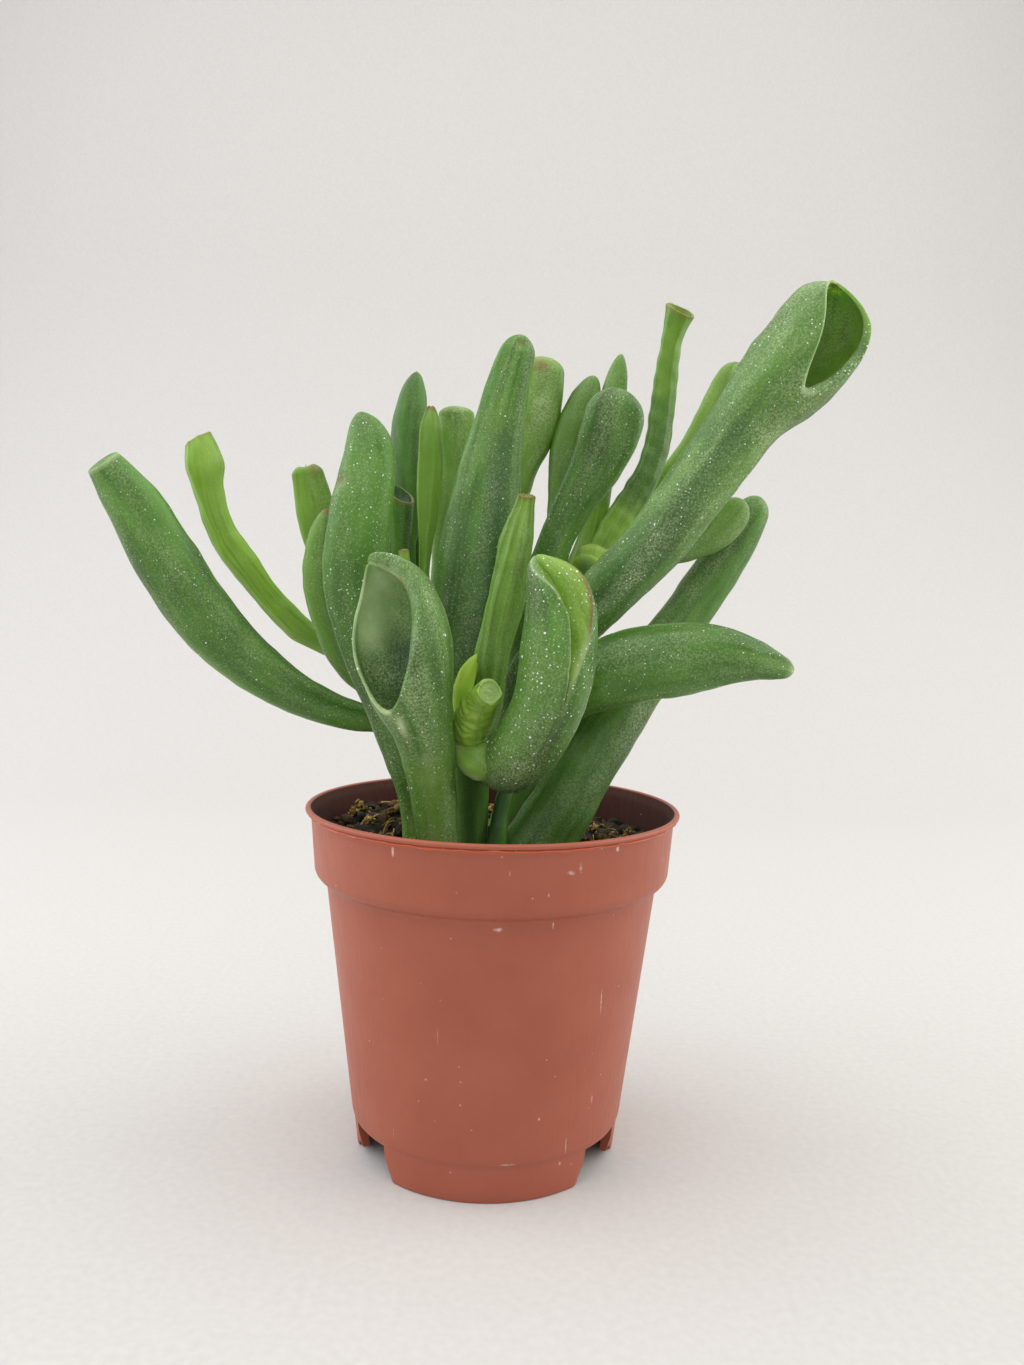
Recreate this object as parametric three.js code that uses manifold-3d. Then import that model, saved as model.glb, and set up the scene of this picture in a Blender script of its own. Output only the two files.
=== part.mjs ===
// Potted gollum jade: a young succulent with tube-shaped leaves in a small plastic nursery pot.
// Millimetres, +Z up. The pot stands on z = 0 and the front of the plant faces -Y.
// Every length below is measured from the pot's own axis; the group is shifted at the end.

import * as THREE from "three";
import { mergeVertices } from "three/addons/utils/BufferGeometryUtils.js";
import Module from "manifold-3d";

// driving sizes of the pot
const POT_HEIGHT = 51;
const LIP_RADIUS = 27.5;
const LIP_HEIGHT = 1.1;
const BAND_TOP_RADIUS = 26.7;
const BAND_LOW_RADIUS = 26.1;
const BAND_UNDERSIDE = 40.5;
const BAND_EDGE_RADIUS = 1.7;
const BODY_TOP_RADIUS = 24.4;
const BASE_RADIUS = 19.4;
const FOOT_HEIGHT = 5.7;
const FOOT_STEP = 0.15;
const FOOT_WALL = 1.0;
const FLOOR_UNDERSIDE = 5.0;
const WALL = 0.7;
const NOTCH_COUNT = 3;
const NOTCH_WIDTH = 5.4;
const FIRST_NOTCH_ANGLE = 30;
const DRAIN_COUNT = 6;
const DRAIN_RADIUS = 2.2;
const DRAIN_CIRCLE = 12.5;
const POT_SIDES = 60;

// driving sizes of the soil
const SOIL_LEVEL = 45.3;
const SOIL_SIDES = 40;
const SOIL_RINGS = 9;
const SOIL_LUMP = 0.55;
const SOIL_HEAP = 2.2;

// touching pieces keep this gap
const GAP = 0.3;

// where the pot's axis lies, so that the origin is in the middle of the whole plant's box
const POT_AXIS_X = 3.8;

const FRONT = [0, -1, 0];
const TUBE_SIDES = 12;
const TIP_RINGS = 3;
const BLUNT_TIP = 0.5;

// a cup's rim stays short of the rounded tip by this share of its wall, and its pit is round
const RIM_INSET = 1.3;
const PIT_ROUNDNESS = 2.2;
const DEEP_CUP_RINGS = 4;
const SHALLOW_CUP_RINGS = 2;
const GROOVE_STEEPNESS = 2.5;
const GROOVE_EDGE_DEGREES = 8;
const GROOVED_SIDES = 26;

// Each stem and leaf is a tube along a smooth line of points from its base to its tip.
// half: half the width at each point; thick: thickness as a share of the width;
// face: where the flat of the leaf looks; round: length of the rounded tip;
// cup: a mouth at the tip, cut back by slant on the side that it opens to;
// groove: a furrow along the side that it opens to.

const STEMS = [
  {
    name: "front_stem",
    line: [[-3, -5, 42], [-3, -6, 50.5], [-3, -8, 57], [-3, -10, 61.5]],
    half: [2.3, 2.2, 2.3, 2.7],
    thick: 1,
    round: 2.4,
    rings: 6,
  },
  {
    name: "right_stem",
    line: [[3, 3, 42], [6, 3, 55.5], [9.5, 4, 68], [13, 5, 80], [15, 7, 90]],
    half: [3.4, 2.9, 2.6, 2.4, 2.4],
    thick: 1,
    round: 2.2,
    rings: 10,
  },
  {
    name: "left_stem",
    line: [[-10, 1, 42], [-11, 3, 55.5], [-14, 4, 67.5], [-15, 5, 79.5]],
    half: [3, 2.7, 2.4, 2.1],
    thick: 1,
    round: 2,
    rings: 8,
  },
];

const LEAVES = [
  {
    name: "near_trumpet_leaf",
    line: [
      [-8, -10, 42.5], [-8.5, -12, 55], [-10, -16, 63.5],
      [-12, -19, 73], [-14, -20, 80.5], [-17, -20, 86.5],
    ],
    half: [3.8, 3.7, 4.4, 6.2, 5.6, 4.6],
    thick: 0.85,
    face: [0.3, -1, 0],
    round: 7,
    cup: { slant: 21.5, depth: 2, wall: 1.3, open: [-0.75, -0.65, 0], spread: [150, 125] },
    rings: 12,
    sides: 16,
  },
  {
    name: "front_folded_leaf",
    line: [[-1.5, -10, 58], [2.5, -15, 59.5], [6.5, -19, 67], [8, -21, 75], [8, -21, 81.5], [5.5, -20, 87]],
    half: [2.2, 4.2, 4.8, 4.9, 4.5, 3.7],
    thick: 0.8,
    face: [0.2, -1, 0],
    round: 8,
    groove: { open: [0.6, -0.8, 0.1], half: 25, span: [0.3, 0.99], depth: 0.8 },
    rings: 14,
    sides: GROOVED_SIDES,
  },
  {
    name: "swollen_base",
    line: [[-5.4, -11.5, 62], [-3.9, -12.4, 60.2], [-2.1, -13.1, 58.3], [-0.3, -13.4, 56.9]],
    half: [1, 2.5, 2.8, 1.8],
    thick: 0.7,
    round: 1.2,
    rings: 5,
  },
  {
    name: "wrinkled_stub",
    line: [[-3.8, -11.5, 61.5], [-3.3, -15, 65], [-1.7, -18, 67.5], [-1, -20, 69.5]],
    half: [2.2, 2.3, 1.8, 1.5],
    thick: 1,
    cup: { slant: 0.3, depth: 0.3, wall: 0.6, open: [0, -1, 0.3] },
    rings: 6,
  },
  {
    name: "thin_bright_leaf",
    line: [
      [-2.5, -10, 61.5], [-1, -9, 66.5], [-0.5, -10, 73.5],
      [1.5, -11, 82.5], [2.5, -12, 89.5], [3.5, -12, 95.5],
    ],
    half: [1.1, 1.8, 2.5, 2.5, 2, 1.2],
    thick: 0.7,
    cup: { slant: 0.6, depth: 0.4, wall: 0.7, open: [0, -0.3, 1] },
    rings: 9,
  },
  {
    name: "small_yellow_leaf",
    line: [[-4, -10.5, 62], [-5, -10.5, 67], [-4.8, -10.5, 70], [-3.5, -10, 73.5]],
    half: [0.6, 1, 1.2, 0.7],
    thick: 0.6,
    round: 2,
    rings: 5,
  },
  {
    name: "side_leaf",
    line: [[8, 1, 64], [11, -7, 68.5], [17, -9, 72], [27, -10, 74], [35, -10, 74], [41.5, -9, 72.5]],
    half: [2.4, 3.7, 5, 4.9, 3.1, 1],
    thick: 0.6,
    face: [0, -1, 0.2],
    round: 1.6,
    rings: 10,
  },
  {
    name: "right_trumpet_leaf",
    line: [
      [10, 1, 71], [13, -5, 76.5], [20.5, -7, 86.5], [28.5, -8, 97.5],
      [37, -9, 108], [43, -10, 116.5], [46.5, -10, 124],
    ],
    half: [3, 3.4, 3.9, 4.3, 5.6, 6.5, 6.8],
    thick: 0.85,
    face: [-0.3, -1, 0],
    round: 7,
    cup: { slant: 16, depth: 4, wall: 1.2, open: [0.3, -0.95, -0.1], spread: [110, 65] },
    rings: 14,
    sides: 16,
  },
  {
    name: "centre_large_leaf",
    line: [
      [-3.5, -9, 61], [-5.5, -7, 68.5], [-4.5, -6, 79.5],
      [-2.5, -5, 93], [-0.5, -4, 106.5], [2.5, -4, 118.5],
    ],
    half: [2, 3.7, 5.1, 5.1, 3.5, 1.8],
    thick: 0.6,
    cup: { slant: 1.5, depth: 0.6, wall: 0.8, open: [-0.2, -0.5, 1] },
    rings: 11,
  },
  {
    name: "tall_left_leaf",
    line: [
      [-11.5, -4, 43.5], [-12.5, -4, 53.5], [-16, -5, 66.5], [-20, -6, 81],
      [-19.5, -7, 92], [-18.5, -6, 101], [-20, -5.5, 107],
    ],
    half: [1.4, 1.7, 3.1, 4.4, 4.5, 3.5, 2.3],
    thick: 0.6,
    round: 9,
    rings: 11,
  },
  {
    name: "long_right_leaf",
    line: [[4.5, -5, 42.5], [14, -3, 58.5], [21.5, 1, 70], [29.5, 5, 81], [35.5, 7, 90], [40, 8, 98]],
    half: [5.2, 4.5, 4.3, 3.6, 3.4, 2.2],
    thick: 0.6,
    round: 4,
    rings: 11,
  },
  {
    name: "far_left_leaf",
    line: [[-13.5, 3, 62.5], [-27, 0, 65.5], [-40.5, -1, 75], [-49, -2, 87], [-56.8, -3, 99.3]],
    half: [1.7, 2.8, 4.4, 4, 2.3],
    thick: 0.75,
    cup: { slant: 0.8, depth: 0.5, wall: 0.7, open: [-0.8, -0.5, 0] },
    rings: 11,
  },
  {
    name: "left_dot_tip_leaf",
    line: [[-14.5, 4, 65], [-21.5, 3, 70], [-25, 3, 77.5], [-26.5, 2, 85], [-25.5, 1, 94]],
    half: [1.4, 2, 2.8, 2.5, 1.5],
    thick: 0.8,
    round: 3.2,
    rings: 8,
  },
  {
    name: "left_bright_leaf",
    line: [
      [-15.5, 5, 70.5], [-23.5, 8, 72.5], [-31.5, 8, 77],
      [-39.5, 7, 86.5], [-43.4, 6, 96], [-44.7, 5, 104.5],
    ],
    half: [1.4, 1.5, 1.9, 2, 2.1, 2.2],
    thick: 0.7,
    cup: { slant: 1, depth: 0.6, wall: 0.8, open: [-0.3, 0, 1] },
    rings: 10,
  },
  {
    name: "back_left_small_leaf",
    line: [[-15.5, 6, 73.5], [-23, 8.5, 77.5], [-26.5, 8, 86.5], [-28, 7, 93.5], [-29.5, 6, 101]],
    half: [1.1, 1.5, 2.3, 2.9, 2.3],
    thick: 0.55,
    round: 1.6,
    rings: 8,
  },
  {
    name: "small_cup_leaf",
    line: [[-15, 5, 75], [-15, 4, 87.5], [-15, 4, 98]],
    half: [1.5, 1.7, 1.8],
    thick: 0.9,
    cup: { slant: 3, depth: 1, wall: 0.6, open: [0.6, -0.6, 0.4] },
    rings: 6,
  },
  {
    name: "back_dark_leaf",
    line: [[-14.5, 7, 72], [-14, 10, 87], [-14.5, 11, 99.5], [-14.5, 12, 108], [-13.5, 12, 116.5]],
    half: [1.7, 2.2, 2.6, 2.7, 1.9],
    thick: 0.8,
    round: 4,
    rings: 8,
  },
  {
    name: "red_tip_leaf",
    line: [[-12.5, 4, 66], [-10.5, 1, 78], [-10.5, 1, 89], [-10.5, 1, 100.5], [-10.5, 1, 109]],
    half: [0.9, 0.9, 1.3, 1.9, 1.2],
    thick: 0.75,
    round: 4,
    rings: 8,
  },
  {
    name: "olive_leaf",
    line: [[-12.5, 5, 72], [-11.5, 5, 82.5], [-12, 5, 91]],
    half: [0.9, 1.2, 0.9],
    thick: 0.6,
    round: 3,
    rings: 4,
  },
  {
    name: "back_pale_leaf",
    line: [[-12.5, 6, 67], [-9.5, 14, 82.5], [-8, 18, 99], [-7.5, 19, 107], [-7.5, 19, 112.5]],
    half: [1.2, 1.6, 2.9, 3.1, 2.8],
    thick: 0.5,
    round: 3,
    rings: 8,
  },
  {
    name: "purple_bud",
    line: [[-9, -8, 60], [-11, -9, 74], [-12.5, -9, 82.5], [-13.5, -9, 86.5]],
    half: [0.8, 0.8, 0.8, 0.6],
    thick: 0.9,
    round: 0.6,
    rings: 5,
  },
  {
    name: "node_stub",
    line: [[13.4, 4, 86.3], [12.2, 1, 86.1]],
    half: [2.3, 2.7],
    thick: 1,
    round: 0.8,
    rings: 3,
  },
  {
    name: "spatulate_leaf",
    line: [[9.5, 4, 69.5], [7.5, 2, 81.5], [10.5, 1, 92.5], [13, 0, 100.5], [15.5, -1, 106], [17, -1, 112]],
    half: [1.8, 2.5, 3.7, 4.2, 4.6, 4.2],
    thick: 0.5,
    round: 5,
    rings: 10,
  },
  {
    name: "tall_thin_leaf",
    line: [
      [15.5, 6, 88.5], [20, 7, 97.5], [23, 7, 107.5],
      [25, 7, 119.5], [25.5, 7, 124], [26.5, 7, 126.5],
    ],
    half: [2, 2.3, 1.8, 1.4, 1.4, 2.1],
    thick: 0.8,
    cup: { slant: 1.2, depth: 1.6, wall: 0.6, open: [-0.2, -0.5, 1] },
    rings: 9,
  },
  {
    name: "node_back_leaf",
    line: [[15, 8, 89], [16, 10, 103.5], [17, 10, 112.5], [18, 10, 119.5]],
    half: [1.5, 2, 2.2, 1.5],
    thick: 0.7,
    round: 3.4,
    rings: 7,
  },
  {
    name: "back_bright_leaf",
    line: [[16, 8, 88.5], [21.5, 10, 96.5], [28.5, 11, 104], [34, 11, 112.5], [36.5, 11, 119]],
    half: [1.1, 0.9, 1.2, 2.6, 2],
    thick: 0.6,
    round: 3.2,
    rings: 8,
  },
  {
    name: "right_stub_leaf",
    line: [[15, 6, 86], [21, 3, 87.5], [28.5, 3, 90], [33, 3, 93], [36.5, 3, 97]],
    half: [1.2, 1.5, 2.1, 2.8, 2.2],
    thick: 0.5,
    round: 3,
    rings: 8,
  },
  {
    name: "back_narrow_leaf",
    line: [[11.5, 6, 74], [9, 8, 86], [9.5, 9, 97], [10.5, 10, 106], [14, 10, 116]],
    half: [1.2, 1.5, 2.3, 2.8, 1.8],
    thick: 0.7,
    round: 4,
    rings: 8,
  },
  {
    name: "corky_tip_leaf",
    line: [[7.5, 5, 66], [0, 9, 83], [2, 10, 100], [5, 10.5, 109], [6, 11, 119]],
    half: [1.2, 1.6, 3.1, 3.7, 3.4],
    thick: 0.6,
    round: 3.5,
    rings: 9,
  },
  {
    name: "basal_leaf",
    line: [[0.5, -8, 43], [1, -7, 50], [2.5, -6, 56.5]],
    half: [1.3, 1.3, 1.1],
    thick: 0.8,
    round: 2,
    rings: 4,
  },
];

const COLOURS = {
  pot: "#b0644d",
  soil: "#3a2c20",
  oldLeaf: "#3f6f3a",
  youngLeaf: "#6f9a35",
  stem: "#5c8a3a",
};

const YOUNG_LEAVES = new Set([
  "left_bright_leaf", "back_left_small_leaf", "red_tip_leaf", "node_back_leaf", "tall_thin_leaf",
  "back_bright_leaf", "thin_bright_leaf", "wrinkled_stub", "small_yellow_leaf", "purple_bud", "node_stub",
]);

const wasm = await Module();
wasm.setup();

function material(colour, roughness) {
  return new THREE.MeshStandardMaterial({ color: colour, roughness, metalness: 0 });
}

function solidOf(geometry) {
  const bare = geometry.clone();
  bare.deleteAttribute("normal");
  bare.deleteAttribute("uv");
  const merged = mergeVertices(bare, 1e-5);
  return new wasm.Manifold(
    new wasm.Mesh({
      numProp: 3,
      vertProperties: new Float32Array(merged.attributes.position.array),
      triVerts: new Uint32Array(merged.index.array),
    }),
  );
}

function geometryOf(solid) {
  const mesh = solid.getMesh();
  const geometry = new THREE.BufferGeometry();
  geometry.setAttribute("position", new THREE.BufferAttribute(new Float32Array(mesh.vertProperties), 3));
  geometry.setIndex(new THREE.BufferAttribute(new Uint32Array(mesh.triVerts), 1));
  return geometry;
}

// a cut can leave crumbs beside the piece itself, so only the largest body is kept
function largestBody(geometry) {
  const merged = mergeVertices(geometry, 1e-4);
  const index = merged.index.array;
  const owner = Array.from({ length: merged.attributes.position.count }, (_, i) => i);
  const rootOf = (i) => {
    while (owner[i] !== i) {
      owner[i] = owner[owner[i]];
      i = owner[i];
    }
    return i;
  };
  for (let i = 0; i < index.length; i += 3) {
    owner[rootOf(index[i])] = rootOf(index[i + 1]);
    owner[rootOf(index[i + 1])] = rootOf(index[i + 2]);
  }
  const bodies = new Map();
  for (let i = 0; i < index.length; i += 3) {
    const root = rootOf(index[i]);
    if (!bodies.has(root)) bodies.set(root, []);
    bodies.get(root).push(index[i], index[i + 1], index[i + 2]);
  }
  const largest = [...bodies.values()].sort((a, b) => b.length - a.length)[0];
  merged.setIndex(largest);
  return mergeVertices(merged.toNonIndexed(), 1e-4);
}

// closed surface from rings of the same number of points, capped by one point at each end
function ringSurface(rings, first, last) {
  const sides = rings[0].length;
  const points = rings.flat().concat([first, last]);
  const lowCap = rings.length * sides;
  const highCap = lowCap + 1;
  const index = [];
  for (let i = 0; i + 1 < rings.length; i += 1) {
    for (let j = 0; j < sides; j += 1) {
      const a = i * sides + j;
      const b = i * sides + ((j + 1) % sides);
      index.push(a, b + sides, b, a, a + sides, b + sides);
    }
  }
  for (let j = 0; j < sides; j += 1) {
    const next = (j + 1) % sides;
    index.push(lowCap, j, next);
    index.push(lowCap - sides + j, highCap, lowCap - sides + next);
  }
  const geometry = new THREE.BufferGeometry().setFromPoints(points);
  geometry.setIndex(index);
  return geometry;
}

class Tube {
  constructor(spec) {
    const vectors = spec.line.map((p) => new THREE.Vector3(...p));
    const widths = spec.half.map((h) => new THREE.Vector3(h, 0, 0));
    this.spec = spec;
    this.face = new THREE.Vector3(...(spec.face ?? FRONT));
    this.centre = new THREE.CatmullRomCurve3(vectors, false, "catmullrom", 0.5);
    this.width = new THREE.CatmullRomCurve3(widths, false, "catmullrom", 0.5);
    this.length = this.centre.getLength();
  }

  // directions at the share s of the length: along the tube, across its width, out of its face
  frame(s) {
    const along = this.centre.getTangent(s);
    const out = this.face.clone().addScaledVector(along, -this.face.dot(along)).normalize();
    const across = new THREE.Vector3().crossVectors(along, out);
    return { along, across, out };
  }

  halfWidth(s) {
    const full = this.width.getPoint(s).x;
    const { round } = this.spec;
    if (!round) return full;
    const start = 1 - round / this.length;
    if (s <= start) return full;
    return full * Math.sqrt(Math.max(0, 1 - ((s - start) / (1 - start)) ** 2));
  }

  angleOf(direction, s) {
    const { across, out } = this.frame(s);
    const open = new THREE.Vector3(...direction);
    return Math.atan2(open.dot(out) / this.spec.thick, open.dot(across));
  }

  grooveShare(s, angle) {
    const { groove } = this.spec;
    if (!groove) return 1;
    const [from, to] = groove.span;
    const along = THREE.MathUtils.clamp((s - from) / (to - from), 0, 1);
    const grow = Math.min(1, GROOVE_STEEPNESS * Math.sin(Math.PI * along));
    if (grow <= 0) return 1;
    const away = Math.abs(wrapAngle(angle - this.angleOf(groove.open, s)));
    const reach = THREE.MathUtils.degToRad(groove.half) * Math.sqrt(grow);
    const edge = THREE.MathUtils.degToRad(GROOVE_EDGE_DEGREES);
    return 1 - groove.depth * grow * THREE.MathUtils.smoothstep(reach - away, 0, edge);
  }

  point(s, angle, radius) {
    const { across, out } = this.frame(s);
    const r = radius * this.grooveShare(s, angle);
    return this.centre
      .getPoint(s)
      .addScaledVector(across, r * Math.cos(angle))
      .addScaledVector(out, r * this.spec.thick * Math.sin(angle));
  }

  ring(stations, radii) {
    const sides = stations.length;
    return stations.map((s, j) => this.point(s, (2 * Math.PI * j) / sides, radii[j]));
  }

  plainSurface(sides, grow) {
    const start = 1 - (this.spec.round ?? BLUNT_TIP) / this.length;
    const stations = [];
    for (let i = 0; i <= this.spec.rings; i += 1) stations.push((start * i) / this.spec.rings);
    for (let i = 1; i <= TIP_RINGS; i += 1) {
      stations.push(start + (1 - start) * Math.sin((i * Math.PI) / (2 * TIP_RINGS + 2)));
    }
    const rings = stations.map((s) => {
      const radius = this.halfWidth(s) + grow;
      return this.ring(Array(sides).fill(s), Array(sides).fill(radius));
    });
    const first = this.centre.getPoint(0).addScaledVector(this.frame(0).along, -grow);
    const last = this.centre.getPoint(1).addScaledVector(this.frame(1).along, grow);
    if (grow > 0) rings[0].forEach((p) => p.addScaledVector(this.frame(0).along, -grow));
    return ringSurface(rings, first, last);
  }

  // the outer wall runs up to the rim, and the inner wall runs back down to the pit
  cupSurface(sides) {
    const { cup, round, rings: count } = this.spec;
    const top = 1 - (round ? (RIM_INSET * cup.wall) / this.length : 0);
    const slant = cup.slant / this.length;
    const pit = top - slant - cup.depth / this.length;
    const [lowSide, highSide] = (cup.spread ?? [180, 180]).map(THREE.MathUtils.degToRad);
    const middle = this.angleOf(cup.open, 0.9);
    const rim = [];
    for (let j = 0; j < sides; j += 1) {
      const away = wrapAngle((2 * Math.PI * j) / sides - middle);
      const share = Math.min(1, away < 0 ? -away / lowSide : away / highSide);
      rim.push(top - slant * Math.cos((share * Math.PI) / 2) ** 2);
    }
    const rings = [];
    for (let i = 0; i <= count; i += 1) {
      const stations = rim.map((s) => (s * i) / count);
      rings.push(this.ring(stations, stations.map((s) => this.halfWidth(s))));
    }
    const steps = cup.depth > 2 ? DEEP_CUP_RINGS : SHALLOW_CUP_RINGS;
    for (let i = 0; i < steps; i += 1) {
      const q = i / steps;
      const stations = rim.map((s) => s * (1 - q) + pit * q);
      const shrink = Math.sqrt(1 - q ** PIT_ROUNDNESS);
      rings.push(this.ring(stations, stations.map((s) => (this.halfWidth(s) - cup.wall) * shrink)));
    }
    return ringSurface(rings, this.centre.getPoint(0), this.centre.getPoint(pit));
  }

  surface(sides) {
    return this.spec.cup ? this.cupSurface(sides) : this.plainSurface(sides, 0);
  }

  // the same tube without its mouth and wider by the gap, to cut from its neighbours
  keepClear(sides) {
    return solidOf(this.plainSurface(sides, GAP));
  }
}

function wrapAngle(angle) {
  const turn = 2 * Math.PI;
  return ((((angle + Math.PI) % turn) + turn) % turn) - Math.PI;
}

function potOutline() {
  const outline = [];
  const add = (r, z) => outline.push(new THREE.Vector2(r, z));
  const wallAt = (z) => BASE_RADIUS + ((BODY_TOP_RADIUS - BASE_RADIUS) * z) / BAND_UNDERSIDE;
  const edgeTop = BAND_UNDERSIDE + BAND_EDGE_RADIUS;
  const lipFoot = POT_HEIGHT - LIP_HEIGHT;
  add(0, FLOOR_UNDERSIDE);
  add(BASE_RADIUS - FOOT_WALL, FLOOR_UNDERSIDE);
  add(BASE_RADIUS - FOOT_WALL, 0);
  add(BASE_RADIUS - FOOT_STEP, 0);
  add(wallAt(FOOT_HEIGHT) - FOOT_STEP, FOOT_HEIGHT);
  add(wallAt(FOOT_HEIGHT + FOOT_STEP), FOOT_HEIGHT + FOOT_STEP);
  add(BODY_TOP_RADIUS, BAND_UNDERSIDE);
  for (let i = 1; i <= 3; i += 1) {
    const turn = (i * Math.PI) / 6;
    const inward = BAND_EDGE_RADIUS * (1 - Math.sin(turn));
    add(BAND_LOW_RADIUS - inward, edgeTop - BAND_EDGE_RADIUS * Math.cos(turn));
  }
  add(BAND_TOP_RADIUS, lipFoot);
  add(LIP_RADIUS, lipFoot + 0.3);
  add(LIP_RADIUS, POT_HEIGHT - 0.3);
  add(LIP_RADIUS - 0.4, POT_HEIGHT);
  add(BAND_TOP_RADIUS - WALL, POT_HEIGHT);
  add(BAND_LOW_RADIUS - WALL, edgeTop + 0.4);
  add(BODY_TOP_RADIUS - WALL, BAND_UNDERSIDE);
  add(wallAt(FOOT_HEIGHT) - WALL, FLOOR_UNDERSIDE + WALL);
  add(0, FLOOR_UNDERSIDE + WALL);
  return outline;
}

function standing(geometry) {
  return geometry.rotateX(Math.PI / 2);
}

function pot() {
  let solid = solidOf(standing(new THREE.LatheGeometry(potOutline(), POT_SIDES)));
  for (let i = 0; i < NOTCH_COUNT; i += 1) {
    const angle = THREE.MathUtils.degToRad(FIRST_NOTCH_ANGLE + (i * 360) / NOTCH_COUNT - 60);
    const notch = new THREE.BoxGeometry(8, NOTCH_WIDTH, 2 * (FLOOR_UNDERSIDE - 0.4));
    notch.translate(BASE_RADIUS, 0, 0);
    notch.rotateZ(angle);
    solid = solid.subtract(solidOf(notch));
  }
  for (let i = 0; i < DRAIN_COUNT; i += 1) {
    const angle = (i * 2 * Math.PI) / DRAIN_COUNT;
    const drain = standing(new THREE.CylinderGeometry(DRAIN_RADIUS, DRAIN_RADIUS, 4, 12));
    drain.translate(DRAIN_CIRCLE * Math.cos(angle), DRAIN_CIRCLE * Math.sin(angle), FLOOR_UNDERSIDE);
    solid = solid.subtract(solidOf(drain));
  }
  return geometryOf(solid);
}

// a lumpy top from a few fixed waves, heaped towards the back left
function soilHeight(x, y) {
  const lumps = Math.sin(0.9 * x + 1.3) * Math.cos(0.8 * y) + Math.sin(1.7 * y - 0.6 * x);
  const heap = Math.exp(-((x + 15) ** 2 + (y - 9) ** 2) / 110);
  return SOIL_LEVEL + SOIL_LUMP * lumps + SOIL_HEAP * heap;
}

function soil(keepClears) {
  const floor = FLOOR_UNDERSIDE + WALL + GAP;
  const lowRadius = BASE_RADIUS - WALL - GAP + 0.6;
  const highRadius = BODY_TOP_RADIUS - WALL - GAP;
  const brim = BAND_LOW_RADIUS - WALL - GAP - 0.1;
  const wall = [[lowRadius, floor], [highRadius, BAND_UNDERSIDE - 0.3], [brim, BAND_UNDERSIDE + 2.6]];
  const circle = (radius, heightAt) => {
    const ring = [];
    for (let j = 0; j < SOIL_SIDES; j += 1) {
      const angle = (2 * Math.PI * j) / SOIL_SIDES;
      const x = radius * Math.cos(angle);
      const y = -radius * Math.sin(angle);
      ring.push(new THREE.Vector3(x, y, heightAt(x, y)));
    }
    return ring;
  };
  const rings = wall.map(([radius, z]) => circle(radius, () => z));
  for (let i = 0; i < SOIL_RINGS; i += 1) {
    rings.push(circle(brim * (1 - i / SOIL_RINGS), soilHeight));
  }
  const first = new THREE.Vector3(0, 0, floor);
  const last = new THREE.Vector3(0, 0, soilHeight(0, 0));
  let solid = solidOf(ringSurface(rings, first, last));
  for (const keepClear of keepClears) solid = solid.subtract(keepClear);
  return largestBody(geometryOf(solid));
}

const plant = new THREE.Group();
plant.position.x = POT_AXIS_X;

function addPiece(name, geometry, look) {
  geometry.computeVertexNormals();
  const mesh = new THREE.Mesh(geometry, look);
  mesh.name = name;
  plant.add(mesh);
}

// the stems are whole, and each leaf is trimmed clear of the stems and of the leaves before it
const placed = [];
for (const spec of [...STEMS, ...LEAVES]) {
  const tube = new Tube(spec);
  const sides = spec.sides ?? TUBE_SIDES;
  const geometry = tube.surface(sides);
  geometry.computeBoundingBox();
  const reach = geometry.boundingBox.clone().expandByScalar(GAP);
  const near = placed.filter((other) => other.box.intersectsBox(reach));
  let solid = solidOf(geometry);
  for (const other of near) solid = solid.subtract(other.keepClear);
  placed.push({ box: geometry.boundingBox, keepClear: tube.keepClear(sides) });
  const isStem = STEMS.includes(spec);
  const colour = YOUNG_LEAVES.has(spec.name) ? COLOURS.youngLeaf : COLOURS.oldLeaf;
  addPiece(spec.name, largestBody(geometryOf(solid)), material(isStem ? COLOURS.stem : colour, 0.45));
}

const rooted = placed.filter((piece) => piece.box.min.z < SOIL_LEVEL + 3);
addPiece("soil", soil(rooted.map((piece) => piece.keepClear)), material(COLOURS.soil, 0.95));
addPiece("pot", pot(), material(COLOURS.pot, 0.5));

export default plant;
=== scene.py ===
import math
import random
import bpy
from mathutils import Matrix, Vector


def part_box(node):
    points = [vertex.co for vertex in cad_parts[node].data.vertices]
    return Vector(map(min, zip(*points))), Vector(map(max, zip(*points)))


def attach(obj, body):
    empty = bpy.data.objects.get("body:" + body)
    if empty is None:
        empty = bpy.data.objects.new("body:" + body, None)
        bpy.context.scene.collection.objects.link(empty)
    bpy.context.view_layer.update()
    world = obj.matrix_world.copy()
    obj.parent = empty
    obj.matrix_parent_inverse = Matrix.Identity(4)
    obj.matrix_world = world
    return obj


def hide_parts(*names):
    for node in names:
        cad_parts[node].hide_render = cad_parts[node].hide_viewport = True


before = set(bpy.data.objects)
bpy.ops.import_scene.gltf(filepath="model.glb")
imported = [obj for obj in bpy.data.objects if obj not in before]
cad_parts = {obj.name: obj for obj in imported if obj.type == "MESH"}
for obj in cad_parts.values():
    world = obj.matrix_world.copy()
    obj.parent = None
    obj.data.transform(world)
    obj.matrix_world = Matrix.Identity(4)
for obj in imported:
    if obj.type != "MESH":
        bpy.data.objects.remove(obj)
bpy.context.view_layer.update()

from types import SimpleNamespace

import bmesh
import bpy
import numpy as np
from mathutils import Matrix, Vector

# A young gollum jade: tube and trumpet shaped leaves on three short stems, in a small tapered
# plastic nursery pot. Sizes here are millimetres from the pot's own axis, with +Z up and the
# front of the plant towards -Y, and place() turns them into the frame's metres.

pot_low, pot_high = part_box("pot")
AXIS = np.array([(pot_low.x + pot_high.x) / 2, (pot_low.y + pot_high.y) / 2, pot_low.z])
FRONT = (0, -1, 0)

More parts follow.
